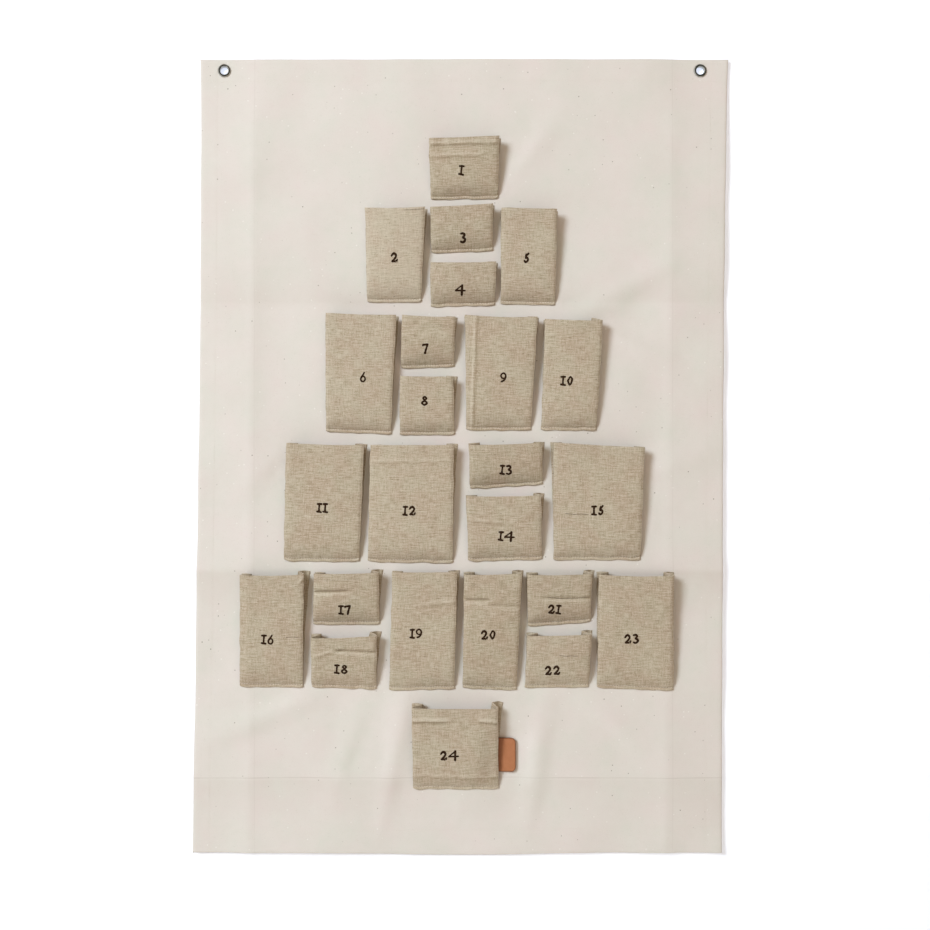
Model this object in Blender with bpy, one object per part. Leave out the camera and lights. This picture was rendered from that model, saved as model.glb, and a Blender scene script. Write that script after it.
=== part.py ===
"""Cloth advent calendar for the wall.

A cotton canvas panel hangs from two eyelets. Twenty-four linen pockets are sewn to it in rows that
widen downwards like a fir tree. Each pocket is a front cloth on a folded side gusset, so its mouth
opens for a gift. A leather tab is sewn into the right side of the last pocket.

The origin is midway between the two eyelets, on the plane of the panel's back. +X is to the right,
+Z is up, and the pockets face -Y.
"""

import math

import bmesh
import bpy

# The canvas panel. Its hems are turned to the back.
panel_width = 0.600
panel_height = 0.900
canvas = 0.0008
side_hem = 0.020
top_hem = 0.025
bottom_hem = 0.028
hang_lean = 0.0082  # how far the bottom edge hangs to the left of the top edge
edge_draw = 0.0030  # how far the side edges draw in where the cloth hangs loosest
bottom_dip = 0.0026  # how far the middle of the bottom edge hangs below its corners
DIP_HALF_WIDTH_SHARE = 0.32  # of the panel's half width
DRAW_PEAK_POWER = 0.6  # puts the loosest place a third of the way down

# The eyelets and the washers that they are set on
eyelet_left_inset = 0.0273
eyelet_right_inset = 0.0321
eyelet_drop = 0.0125
eyelet_bore_radius = 0.0044
eyelet_flange_radius = 0.0074
eyelet_metal = 0.0005
eyelet_dome = 0.0013
eyelet_roll = 0.0007
washer_radius = 0.0070
washer_metal = 0.0006
washer_cup = 0.0004

# The linen pockets. Each is named by the widths and heights that they are cut in.
linen = 0.0007
slim_width = 0.061
narrow_width = 0.0705
middle_width = 0.073
first_width = 0.0755
broad_width = 0.0845
wide_width = 0.0965
shallow_height = 0.0475
small_height = 0.0565
low_height = 0.062
square_height = 0.0645
deeper_height = 0.0735
last_height = 0.097
long_height = 0.103
short_tall_height = 0.1225
tall_height = 0.132
seam_margin = 0.0035  # the sewn strip that shows below a front
strip_height = 0.0065
side_flange = 0.0040
pleat_depth = 0.0145
mouth_depth = 0.0180
mouth_flare = 0.0028
mouth_drop = 0.0040  # how far a front's top edge hangs below the top of its gusset
mouth_hem = 0.0150
hem_fold = 0.0006
seam_puff = 0.0026
puff_length = 0.0040
crown = 0.0012

# How the pockets are laid out, from the panel's top edge down
first_drop = 0.0951
column_gap = 0.010
row_gap = 0.0125

# The leather tab in the right side of the last pocket
TAB_POCKET = 24
tab_reach = 0.0195
tab_height = 0.0386
tab_low = 0.0193
tab_thickness = 0.0016
tab_corner = 0.0055
tab_edge = 0.0004

# What neighbouring pieces keep between them, and how far a cutter runs past what it cuts
clearance = 0.0003
overrun = 0.0020

EYELET_STEPS = 32
DOME_STEPS = 8
ROLL_STEPS = 4
CORNER_STEPS = 6
PANEL_ROWS = 12
PANEL_COLUMNS = 8
SHARP_DEGREES = 40
FRONT_COLUMN_SHARES = (-1.0, -0.55, 0.0, 0.55, 1.0)
FRONT_ROW_SHARES = (0.30, 0.60)

# number: width, height, and how far it was sewn below its place, as a share of the row gap
POCKETS = {
    1: (first_width, square_height, 0.0),
    2: (slim_width, long_height, -0.06),
    3: (narrow_width, shallow_height, -0.14),
    4: (narrow_width, shallow_height, 0.30),
    5: (slim_width, long_height, 0.15),
    6: (middle_width, tall_height, 0.0),
    7: (slim_width, small_height, 0.14),
    8: (slim_width, square_height, 0.17),
    9: (middle_width, tall_height, -0.23),
    10: (slim_width, short_tall_height, 0.53),
    11: (broad_width, tall_height, 0.0),
    12: (wide_width, tall_height, 0.11),
    13: (broad_width, shallow_height, 0.02),
    14: (broad_width, deeper_height, -0.09),
    15: (wide_width, tall_height, -0.13),
    16: (narrow_width, tall_height, -0.19),
    17: (middle_width, low_height, -0.25),
    18: (middle_width, low_height, -0.06),
    19: (middle_width, tall_height, 0.04),
    20: (slim_width, tall_height, 0.0),
    21: (narrow_width, low_height, -0.30),
    22: (narrow_width, low_height, -0.14),
    23: (broad_width, tall_height, 0.0),
    24: (wide_width, last_height, 0.0),
}

# The rows from the top: the pockets of each column, top one first, the gaps between the columns as
# shares of the column gap, how far the row stands off the middle, also as such a share, and the gap
# above the row as a share of the row gap.
ROW_SHARES = (
    (((1,),), (), 0.15, 0.0),
    (((2,), (3, 4), (5,)), (1.15, 0.85), -0.14, 1.13),
    (((6,), (7, 8), (9,), (10,)), (1.05, 1.42, 1.16), 0.0, 1.23),
    (((11,), (12,), (13, 14), (15,)), (0.99, 1.70, 1.25), 0.26, 1.05),
    (((16,), (17, 18), (19,), (20,), (21, 22), (23,)), (1.09, 1.32, 0.99, 1.12, 0.92), -0.22, 1.03),
    (((24,),), (), -0.24, 1.30),
)

panel_depth = 2 * canvas
eyelet_spacing = panel_width - eyelet_left_inset - eyelet_right_inset
centre_line = (eyelet_right_inset - eyelet_left_inset) / 2


def clear_scene():
    for thing in list(bpy.data.objects):
        bpy.data.objects.remove(thing, do_unlink=True)


def linear(channel):
    return channel / 12.92 if channel <= 0.04045 else ((channel + 0.055) / 1.055) ** 2.4


def material(name, colour, roughness, metallic=0.0):
    """A plain finish, with its colour as six sRGB hex digits."""
    made = bpy.data.materials.new(name)
    made.use_nodes = True
    shader = made.node_tree.nodes["Principled BSDF"]
    rgb = [linear(int(colour[i : i + 2], 16) / 255) for i in (0, 2, 4)]
    shader.inputs["Base Color"].default_value = (*rgb, 1.0)
    shader.inputs["Roughness"].default_value = roughness
    shader.inputs["Metallic"].default_value = metallic
    return made


def add_object(name, points, faces, finish, origin=(0.0, 0.0, 0.0)):
    """An object with its origin at a place, from points in the part's own frame."""
    mesh = bpy.data.meshes.new(name)
    local = [[point[k] - origin[k] for k in range(3)] for point in points]
    mesh.from_pydata(local, [], faces)
    shell = bmesh.new()
    shell.from_mesh(mesh)
    bmesh.ops.recalc_face_normals(shell, faces=shell.faces)
    shell.to_mesh(mesh)
    shell.free()
    mesh.materials.append(finish)
    made = bpy.data.objects.new(name, mesh)
    made.location = origin
    bpy.context.collection.objects.link(made)
    return made


def cutter(made):
    made.hide_render = True
    made.display_type = "WIRE"
    return made


def cut(target, tool):
    modifier = target.modifiers.new("cut", "BOOLEAN")
    modifier.operation = "DIFFERENCE"
    modifier.solver = "EXACT"
    modifier.object = tool


def outward(offset):
    """The Y of a place that stands off the panel's front face."""
    return -(panel_depth + offset)


def hung(across, down):
    """The X and Z of a place on the panel, from its centre line and its top edge."""
    z = eyelet_drop - down
    return centre_line + across + hang_lean * z / panel_height, z


def drawn_in(down):
    """How far the side edges stand inside the cut width, down the panel."""
    share = min(max(down / panel_height, 0.0), 1.0)
    return edge_draw * math.sin(math.pi * share**DRAW_PEAK_POWER)


def dipped(across):
    """How far the bottom edge hangs below its corners."""
    reach = across / (panel_width / 2 * DIP_HALF_WIDTH_SHARE)
    return bottom_dip * math.exp(-reach * reach)


def spaced(start, end, count):
    return [start + (end - start) * i / count for i in range(count + 1)]


def panel_grid():
    """Places of the panel's rows and columns, with one on each hem's edge."""
    half = panel_width / 2
    columns = [-half, *spaced(-half + side_hem, half - side_hem, PANEL_COLUMNS), half]
    rows = [0.0, *spaced(top_hem, panel_height - bottom_hem, PANEL_ROWS), panel_height]
    return columns, rows


def panel_point(across, down, y):
    side = across / (panel_width / 2)
    across -= drawn_in(down) * side * abs(side)
    x, z = hung(across, down)
    if down == panel_height:
        z -= dipped(across)
    return x, y, z


def canvas_panel(finish):
    """One sheet with a hem turned to the back on all four sides."""
    columns, rows = panel_grid()
    wide, tall = len(columns), len(rows)
    points = []
    layers = []
    for y in (-panel_depth, 0.0, -canvas):
        layers.append(len(points))
        points += [panel_point(across, down, y) for down in rows for across in columns]
    front, hem, sheet = layers

    def at(layer, row, column):
        return layer + row * wide + column

    def inner(row, column):
        return 0 < row < tall - 2 and 0 < column < wide - 2

    faces = []
    for row in range(tall - 1):
        for column in range(wide - 1):
            ring = ((row, column), (row, column + 1), (row + 1, column + 1), (row + 1, column))
            back = sheet if inner(row, column) else hem
            faces.append([at(front, r, c) for r, c in ring])
            faces.append([at(back, r, c) for r, c in reversed(ring)])
            for (r1, c1), (r2, c2), beyond in (
                (ring[0], ring[1], (row - 1, column)),
                (ring[1], ring[2], (row, column + 1)),
                (ring[2], ring[3], (row + 1, column)),
                (ring[3], ring[0], (row, column - 1)),
            ):
                outside = not (0 <= beyond[0] < tall - 1 and 0 <= beyond[1] < wide - 1)
                if outside:
                    faces.append([at(front, r1, c1), at(front, r2, c2), at(hem, r2, c2), at(hem, r1, c1)])
                elif inner(row, column) and not inner(*beyond):
                    faces.append([at(sheet, r1, c1), at(sheet, r2, c2), at(hem, r2, c2), at(hem, r1, c1)])
    used = sorted({index for face in faces for index in face})
    number = {index: i for i, index in enumerate(used)}
    panel = add_object(
        "canvas_panel", [points[i] for i in used], [[number[i] for i in face] for face in faces], finish
    )
    for side, place in eyelet_places():
        tool = turned(f"eyelet_hole_{side}", punch_profile(), place, None)
        cut(panel, cutter(tool))


def eyelet_places():
    return (("left", -eyelet_spacing / 2), ("right", eyelet_spacing / 2))


def turned(name, profile, x, finish):
    """A closed outline of (radius, y) points turned about an eyelet's axis."""
    shell = bmesh.new()
    rim = [shell.verts.new((radius, y, 0.0)) for radius, y in profile]
    closed = min(radius for radius, y in profile) > 0
    edges = [shell.edges.new((rim[i], rim[i + 1])) for i in range(len(rim) - 1)]
    if closed:
        edges.append(shell.edges.new((rim[-1], rim[0])))
    bmesh.ops.spin(
        shell,
        geom=rim + edges,
        cent=(0.0, 0.0, 0.0),
        axis=(0.0, 1.0, 0.0),
        angle=2 * math.pi,
        steps=EYELET_STEPS,
        use_merge=True,
        use_duplicate=False,
    )
    bmesh.ops.remove_doubles(shell, verts=shell.verts, dist=eyelet_metal / 50)
    bmesh.ops.recalc_face_normals(shell, faces=shell.faces)
    mesh = bpy.data.meshes.new(name)
    shell.to_mesh(mesh)
    shell.free()
    mesh.shade_smooth()
    mesh.set_sharp_from_angle(angle=math.radians(SHARP_DEGREES))
    if finish:
        mesh.materials.append(finish)
    made = bpy.data.objects.new(name, mesh)
    made.location = (x, 0.0, 0.0)
    bpy.context.collection.objects.link(made)
    return made


def barrel_radius():
    return eyelet_bore_radius + eyelet_metal


def punch_profile():
    """The hole that is punched through the panel, clear of the eyelet's barrel."""
    radius = barrel_radius() + clearance
    front, back = outward(overrun), overrun
    return ((0.0, front), (radius, front), (radius, back), (0.0, back))


def washer_back():
    return clearance + washer_cup + washer_metal


def eyelet(side, x, finish):
    """A domed flange and its barrel in one, with the barrel's end rolled over the washer."""
    middle = (eyelet_flange_radius + eyelet_bore_radius) / 2
    half = (eyelet_flange_radius - eyelet_bore_radius) / 2
    seat = outward(clearance)
    dome = []
    for turn in spaced(0.0, math.pi, DOME_STEPS):
        dome.append((middle + half * math.cos(turn), seat - eyelet_metal / 2 - eyelet_dome * math.sin(turn)))
    roll_start = washer_back() + clearance
    roll = []
    for turn in spaced(0.0, math.pi, ROLL_STEPS)[1:-1]:
        rise = eyelet_metal * (1.0 - math.cos(turn)) / 2
        roll.append((barrel_radius() + eyelet_roll * math.sin(turn), roll_start + rise))
    bore_end = (eyelet_bore_radius, roll_start + eyelet_metal)
    inside = [(barrel_radius(), roll_start), (barrel_radius(), seat), (eyelet_flange_radius, seat)]
    profile = [*dome, bore_end, *reversed(roll), *inside]
    turned(f"eyelet_{side}", profile, x, finish)


def washer(side, x, finish):
    """The ring behind the panel. It is cupped towards the cloth."""
    hole = barrel_radius() + clearance
    middle = (hole + washer_radius) / 2
    profile = (
        (hole, clearance + washer_cup),
        (hole, washer_back()),
        (middle, washer_back()),
        (washer_radius, clearance + washer_metal),
        (washer_radius, clearance),
        (middle, clearance + washer_cup),
    )
    turned(f"washer_{side}", profile, x, finish)


def row_width(columns, gap_shares):
    widths = [POCKETS[column[0]][0] for column in columns]
    return sum(widths) + sum(gap_shares) * column_gap


def row_height(columns):
    """A row is as tall as its tallest column of one pocket."""
    return max(POCKETS[column[0]][1] for column in columns if len(column) == 1)


def layout():
    """Where each pocket is sewn: its middle across the panel, and its lowest edge down the panel."""
    places = {}
    top = first_drop
    for columns, gap_shares, offset_share, gap_above_share in ROW_SHARES:
        top += gap_above_share * row_gap
        tall = row_height(columns)
        left = offset_share * column_gap - row_width(columns, gap_shares) / 2
        for i, column in enumerate(columns):
            width = POCKETS[column[0]][0]
            for pocket in column:
                height, late_share = POCKETS[pocket][1:]
                lowest = tall if pocket == column[-1] and len(column) > 1 else height
                places[pocket] = (left + width / 2, top + lowest + late_share * row_gap)
            left += width + (gap_shares[i] * column_gap if i < len(gap_shares) else 0.0)
        top += tall
    return places


def seam_offset():
    """Where the back of a front starts: over the two layers of the closed pleat."""
    return 2 * clearance + 2 * linen


def front_offset(height, up):
    """How far the back of a front stands off the panel, up the pocket and away from its hem."""
    share = (up - seam_margin) / (height - seam_margin)
    puffed = seam_puff * (1.0 - math.exp(-(up - seam_margin) / puff_length))
    wedge = (mouth_depth - linen - seam_offset() - seam_puff) * share
    return seam_offset() + puffed + wedge


def inner_offset(height, up):
    """The same with the mouth's hem, which is turned to the inside."""
    doubled = linen if up > height - mouth_hem else 0.0
    return front_offset(height, up) - doubled


def half_width(width, height, up):
    return width / 2 + mouth_flare / 2 * (up - seam_margin) / (height - seam_margin)


def pocket_levels(height):
    """Heights of a front's rows, with a close pair where its hem starts."""
    plain = height - mouth_hem
    levels = [seam_margin, strip_height]
    start = strip_height + puff_length
    levels.append(start)
    levels += [start + (plain - start) * share for share in FRONT_ROW_SHARES]
    levels += [plain, plain + hem_fold, height]
    return levels


def pocket_frame(number, places):
    """A pocket's own frame: a function from (across, up, off the panel) to the part's frame."""
    middle, lowest = places[number]

    def place(across, up, offset):
        x, z = hung(middle + across, lowest - up)
        return x, outward(offset), z

    return place


def pocket_front(number, place, finish):
    """The front cloth, crowned a little, with its mouth hem turned in. It swings about its seam."""
    width, height = POCKETS[number][:2]
    levels = pocket_levels(height)
    outer, inner = [], []
    for up in levels:
        half = half_width(width, height, up)
        share = (up - seam_margin) / (height - seam_margin)
        for side in FRONT_COLUMN_SHARES:
            bulge = crown * (1.0 - side * side) * math.sin(math.pi * min(share, 1.0))
            outer.append(place(side * half, up, front_offset(height, up) + linen + bulge))
            inner.append(place(side * half, up, inner_offset(height, up) + bulge))
    hinge = place(0.0, seam_margin, seam_offset())
    faces = shell_faces(len(levels), len(FRONT_COLUMN_SHARES))
    add_object(f"pocket_{number:02d}_front", outer + inner, faces, finish, hinge)


def shell_faces(rows, columns):
    """Faces of a sheet with two sides and a rim, for a grid of outer points and then inner ones."""
    under = rows * columns
    faces = []
    for row in range(rows - 1):
        for column in range(columns - 1):
            a = row * columns + column
            quad = [a, a + 1, a + 1 + columns, a + columns]
            faces.append(quad)
            faces.append([under + i for i in reversed(quad)])
    rim = [column for column in range(columns)]
    rim += [row * columns + columns - 1 for row in range(1, rows)]
    rim += [(rows - 1) * columns + column for column in range(columns - 2, -1, -1)]
    rim += [row * columns for row in range(rows - 2, 0, -1)]
    for i, a in enumerate(rim):
        b = rim[(i + 1) % len(rim)]
        faces.append([b, a, under + a, under + b])
    return faces


# The corners of a gusset's section that the strip below it shares, in their order round its end,
# and those of the pleat that stands on the strip
STRIP_END = ("crease back", "flange back", "sewn back", "sewn front", "flange front", "notch")
PLEAT_OVER_STRIP = ("notch", "edge back", "edge front", "crease front", "crease back")
AT_CREASE = ("notch", "crease front", "crease back")


def pleat_section(width, height, up):
    """Half a gusset's outline at one height: its corners as (across, offset), from its sewn edge round.

    The cloth lies flat on the panel for the width of its flange, folds in to a crease behind the
    front, and comes back out to the front's edge.
    """
    face = inner_offset(height, up) - clearance
    middle = (clearance + face) / 2
    spread = (face - clearance) / 2
    crease = width / 2 - math.sqrt(pleat_depth * pleat_depth - spread * spread)
    sewn = width / 2
    edge = half_width(width, height, up)
    if up <= strip_height:
        crease_back, notch, crease_front = clearance, clearance + linen, clearance + 2 * linen
    else:
        crease_back, notch, crease_front = middle - linen / 2, middle, middle + linen / 2
    return {
        "sewn back": (sewn, clearance),
        "sewn front": (sewn, clearance + linen),
        "flange front": (sewn - side_flange, clearance + linen),
        "notch": (crease + linen, notch),
        "edge back": (edge, face - linen),
        "edge front": (edge, face),
        "crease front": (crease, crease_front),
        "crease back": (crease, crease_back),
        "flange back": (sewn - side_flange, clearance),
    }


def pocket_gusset(number, place, finish):
    """A strip along the bottom seam with a pleat rising from each end, in one closed piece."""
    width, height = POCKETS[number][:2]
    levels = pocket_levels(height)[1:]
    top = len(levels) - 1
    points = []
    index = {}
    faces = []

    def add(side, row, spot, across, up, offset):
        index[side, row, spot] = len(points)
        points.append(place(side * across, up, offset))

    def face(*corners):
        faces.append([index[corner] for corner in corners])

    def wall(side, row, a, b):
        """One side of the cloth between two rows, cut up from the crease, so that both sides match."""
        near, far = (b, a) if b in AT_CREASE else (a, b)
        face((side, row, near), (side, row, far), (side, row + 1, far))
        face((side, row, near), (side, row + 1, far), (side, row + 1, near))

    for side in (-1, 1):
        for spot in STRIP_END:
            across, offset = pleat_section(width, height, levels[0])[spot]
            add(side, "foot", spot, across, 0.0, offset)
        for row, up in enumerate(levels):
            section = pleat_section(width, height, up)
            share = (up - levels[0]) / (height - levels[0])
            for spot, (across, offset) in section.items():
                rise = mouth_drop * share * (1.0 - offset / section["edge front"][1])
                add(side, row, spot, across, up + rise, offset)
        round_pleat = list(section)
        for a, b in zip(round_pleat, round_pleat[1:] + round_pleat[:1]):
            for row in range(top):
                wall(side, row, a, b)
        face(*[(side, top, spot) for spot in round_pleat])
        face(*[(side, 0, spot) for spot in PLEAT_OVER_STRIP])
        for a, b in zip(STRIP_END, STRIP_END[1:]):
            face((side, "foot", a), (side, "foot", b), (side, 0, b), (side, 0, a))
        face(*[(side, "foot", spot) for spot in STRIP_END])
    for spot in ("notch", "crease back"):
        face((-1, "foot", spot), (1, "foot", spot), (1, 0, spot), (-1, 0, spot))
    for row in ("foot", 0):
        face((-1, row, "notch"), (1, row, "notch"), (1, row, "crease back"), (-1, row, "crease back"))
    add_object(f"pocket_{number:02d}_gusset", points, faces, finish)


def tab_root():
    """How far the tab runs in over the pocket's flange, where it is sewn."""
    return side_flange - 2 * clearance


def tab_outline(inset):
    """The tab's outline from its root: square where it is sewn in, and rounded where it shows."""
    reach = tab_root() + tab_reach
    radius = tab_corner - inset
    outline = [(inset, inset)]
    for height, start in ((tab_corner, -math.pi / 2), (tab_height - tab_corner, 0.0)):
        for turn in spaced(start, start + math.pi / 2, CORNER_STEPS):
            outline.append((reach - tab_corner + radius * math.cos(turn), height + radius * math.sin(turn)))
    outline.append((inset, tab_height - inset))
    return outline


def leather_tab(place, finish):
    """A flat tab of hide on the flange of the last pocket. It lifts about its sewn end."""
    root = POCKETS[TAB_POCKET][0] / 2 - tab_root()
    back = 2 * clearance + linen
    front = back + tab_thickness
    layers = ((back, tab_edge), (back + tab_edge, 0.0), (front - tab_edge, 0.0), (front, tab_edge))
    points = []
    for offset, inset in layers:
        points += [place(root + x, tab_low + z, offset) for x, z in tab_outline(inset)]
    count = len(points) // len(layers)
    faces = [range(count), range(len(points) - count, len(points))]
    for low in range(0, len(points) - count, count):
        for i in range(count):
            j = (i + 1) % count
            faces.append([low + i, low + j, low + count + j, low + count + i])
    tab = add_object("leather_tab", points, faces, finish, place(root, tab_low + tab_height / 2, back))
    tab.data.shade_smooth()
    tab.data.set_sharp_from_angle(angle=math.radians(SHARP_DEGREES))


def build():
    clear_scene()
    cotton = material("cotton_canvas", "E6DFD5", 0.9)
    flax = material("linen", "B8AA92", 0.92)
    nickel = material("nickel", "B9B9B6", 0.25, metallic=1.0)
    hide = material("leather", "B87850", 0.55)
    canvas_panel(cotton)
    for side, x in eyelet_places():
        eyelet(side, x, nickel)
        washer(side, x, nickel)
    places = layout()
    for number in sorted(POCKETS):
        place = pocket_frame(number, places)
        pocket_gusset(number, place, flax)
        pocket_front(number, place, flax)
    leather_tab(pocket_frame(TAB_POCKET, places), hide)


build()
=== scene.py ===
import math
import random

import bmesh
import bpy
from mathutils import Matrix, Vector, bvhtree, geometry, noise


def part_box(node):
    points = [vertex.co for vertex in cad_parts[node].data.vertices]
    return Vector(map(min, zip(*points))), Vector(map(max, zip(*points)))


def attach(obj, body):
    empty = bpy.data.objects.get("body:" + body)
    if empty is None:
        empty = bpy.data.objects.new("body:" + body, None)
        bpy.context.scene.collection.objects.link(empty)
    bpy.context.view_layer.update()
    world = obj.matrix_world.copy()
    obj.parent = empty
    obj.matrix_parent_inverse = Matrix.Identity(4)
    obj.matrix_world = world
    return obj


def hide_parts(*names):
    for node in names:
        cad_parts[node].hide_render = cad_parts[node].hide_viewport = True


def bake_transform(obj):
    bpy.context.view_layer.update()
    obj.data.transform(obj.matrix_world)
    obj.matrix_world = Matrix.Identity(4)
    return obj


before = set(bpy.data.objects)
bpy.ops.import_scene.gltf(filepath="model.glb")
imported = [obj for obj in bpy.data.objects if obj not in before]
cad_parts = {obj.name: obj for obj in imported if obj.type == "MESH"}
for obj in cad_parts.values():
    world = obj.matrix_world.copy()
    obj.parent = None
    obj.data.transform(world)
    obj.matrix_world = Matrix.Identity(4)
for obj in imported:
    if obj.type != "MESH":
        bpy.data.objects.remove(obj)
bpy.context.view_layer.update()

# The room. A matt white wall lies close behind the calendar, and a pale floor far below it.
# The camera looks straight at the wall from about arm's reach and a half, where the photographer
# stood. Soft daylight falls from the upper left, and the white room fills the shadows.
pixel = 0.001136  # the width of one of the photograph's pixels on the canvas
origin_pixel = (462.15, 70.8)  # where the calendar's origin shows
image_middle = 465.0
image_width = 930
camera_distance = 1.40
sensor_width = 36.0
canvas_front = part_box("canvas_panel")[0].y
camera_place = Vector(
    (
        (image_middle - origin_pixel[0]) * pixel,
        canvas_front - camera_distance,
        (origin_pixel[1] - image_middle) * pixel,
    )
)
wall_behind = 0.0028  # just behind the washers' rolled ends
wall_size = 3.6
floor_drop = 1.75
WALL_WHITE = "FBFAF8"
WALL_GLOW = "D0E2FF"
FLOOR_PALE = "E4E2DE"
FLOOR_CLOUD = "DDDAD5"
DAYLIGHT = "E4F1FF"
ROOM_BOUNCE = "FFE9D2"
MIRRORED_WINDOW = "FFFFFF"
MIRRORED_ROOM = "504E46"
daylight_way = Vector((0.79, 1.0, -0.50)).normalized()
window_distance = 5.0
window_width = 1.85
daylight_power = 203.0
room_from_sides = 0.15
room_from_front = 0.62  # more light comes straight across the room than along the wall
wall_glow = 0.28  # a cool glow, so that the warm shade beside the canvas shows grey
eyelet_painted_light = 0.75  # painted light: the wall glows brighter in a disc behind each eyelet, so that its hole shows white
eyelet_painted_light_radius = 0.0068
eyelet_reach = (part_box("eyelet_right")[0].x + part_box("eyelet_right")[1].x) / 2
window_shows = (-0.25, -0.65)  # how far leftwards a mirror starts to see the window, and sees it full
floor_clouds_per_metre = 3.0


def paint(colour):
    """Six sRGB hex digits as a linear colour."""
    channels = [int(colour[i : i + 2], 16) / 255 for i in (0, 2, 4)]
    return (*[c / 12.92 if c <= 0.04045 else ((c + 0.055) / 1.055) ** 2.4 for c in channels], 1.0)


def wire(node, sockets):
    """Fills a node's sockets. One that is given an output, or a node for its first output, is linked."""
    for name, value in dict(sockets).items():
        if isinstance(value, bpy.types.Node):
            value = next(output for output in value.outputs if output.enabled)
        if isinstance(value, bpy.types.NodeSocket):
            node.id_data.links.new(value, node.inputs[name])
        else:
            node.inputs[name].default_value = value


def add(tree, kind, sockets=(), **settings):
    """Adds a node with its settings and links. A shader node goes by its short name."""
    made = tree.nodes.new(kind if "Node" in kind else "ShaderNode" + kind)
    for name, value in settings.items():
        setattr(made, name, value)
    wire(made, sockets)
    return made


def add_mesh(name, points, faces, finish, smooth=True):
    """An object at the origin, with its place in its mesh and its faces pointing out."""
    mesh = bpy.data.meshes.new(name)
    mesh.from_pydata(points, [], faces)
    shell = bmesh.new()
    shell.from_mesh(mesh)
    bmesh.ops.recalc_face_normals(shell, faces=shell.faces)
    shell.to_mesh(mesh)
    shell.free()
    if smooth:
        mesh.shade_smooth()
    mesh.materials.append(finish)
    made = bpy.data.objects.new(name, mesh)
    bpy.context.scene.collection.objects.link(made)
    return made


def start_finish(name, sockets=()):
    """A new material, its tree and its shader, which holds what is the same all over the surface."""
    made = bpy.data.materials.new(name)
    made.use_nodes = True
    shader = made.node_tree.nodes["Principled BSDF"]
    wire(shader, sockets)
    return made, made.node_tree, shader


def wall_paint():
    """Matt wall paint. It shows white to the camera and to mirrors, with painted light behind each eyelet,
    and lets light from behind pass.
    """
    made, tree, _ = start_finish("matt_wall_paint")
    tree.nodes.clear()
    matt = add(tree, "BsdfDiffuse", {"Color": paint(WALL_WHITE)})
    place = add(tree, "TexCoord").outputs["Object"]
    one_side = add(tree, "VectorMath", {0: place}, operation="ABSOLUTE")
    behind_eyelet = (eyelet_reach, wall_behind, 0.0)
    from_eyelet = add(tree, "VectorMath", {0: one_side, 1: behind_eyelet}, operation="DISTANCE")
    # Painted light: the glow is stronger in a disc behind each eyelet, so that the holes show white.
    edge = {1: eyelet_painted_light_radius, 2: eyelet_painted_light_radius * 1.1, 3: eyelet_painted_light, 4: wall_glow}
    near = add(tree, "MapRange", {0: from_eyelet, **edge})
    glow = add(tree, "Emission", {"Color": paint(WALL_GLOW), "Strength": near})
    lit = add(tree, "AddShader", {0: matt, 1: glow})
    clear = add(tree, "BsdfTransparent")
    ray = add(tree, "LightPath").outputs
    shown = add(tree, "Math", {0: ray["Is Camera Ray"], 1: ray["Is Glossy Ray"]}, operation="MAXIMUM")
    shown = add(tree, "Math", {0: shown, 1: ray["Is Transmission Ray"]}, operation="MAXIMUM")
    behind = add(tree, "NewGeometry").outputs["Backfacing"]
    shown = add(tree, "Math", {0: shown, 1: behind}, operation="SUBTRACT", use_clamp=True)
    mixed = add(tree, "MixShader", {0: shown, 1: clear, 2: lit})
    add(tree, "OutputMaterial", {"Surface": mixed})
    return made


def floor_paint():
    """Smooth pale screed with a faint cloudiness."""
    made, tree, shader = start_finish("pale_screed", {"Roughness": 0.85})
    place = add(tree, "TexCoord").outputs["Object"]
    cloud = add(tree, "TexNoise", {"Vector": place, "Scale": floor_clouds_per_metre})
    shade = add(tree, "Mix", {0: cloud, 6: paint(FLOOR_PALE), 7: paint(FLOOR_CLOUD)}, data_type="RGBA")
    wire(shader, {"Base Color": shade})
    return made


def add_window(name, way):
    """A large soft light, as far off as a window across the room, that shines the given way."""
    lamp = bpy.data.lights.new(name, "AREA")
    lamp.shape = "DISK"
    lamp.size = window_width
    lamp.energy = daylight_power
    lamp.color = paint(DAYLIGHT)[:3]
    made = bpy.data.objects.new(name, lamp)
    made.location = Vector((0.0, 0.0, camera_place.z)) - way * window_distance
    made.rotation_euler = way.to_track_quat("-Z", "Y").to_euler()
    made.visible_glossy = False
    bpy.context.scene.collection.objects.link(made)


camera = bpy.data.objects.new("camera", bpy.data.cameras.new("camera"))
camera.data.sensor_width = sensor_width
camera.data.lens = sensor_width * camera_distance / (image_width * pixel)
camera.location = camera_place
camera.rotation_euler = (math.radians(90), 0.0, 0.0)
bpy.context.scene.collection.objects.link(camera)
bpy.context.scene.camera = camera
bpy.context.scene.view_settings.view_transform = "Standard"

half = wall_size / 2
corners = [(-half, -half), (half, -half), (half, half), (-half, half)]
wall_corners = [(x, wall_behind, camera_place.z + z) for x, z in corners]
wall = add_mesh("wall", wall_corners, [(0, 1, 2, 3)], wall_paint(), False)
if wall.data.polygons[0].normal.y > 0:
    wall.data.flip_normals()
floor_corners = [(x, y, -floor_drop) for x, y in corners]
floor = add_mesh("floor", floor_corners, [(0, 1, 2, 3)], floor_paint(), False)

add_window("window", daylight_way)
add_window("window_behind", Vector((-daylight_way.x, -daylight_way.y, daylight_way.z)))

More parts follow.
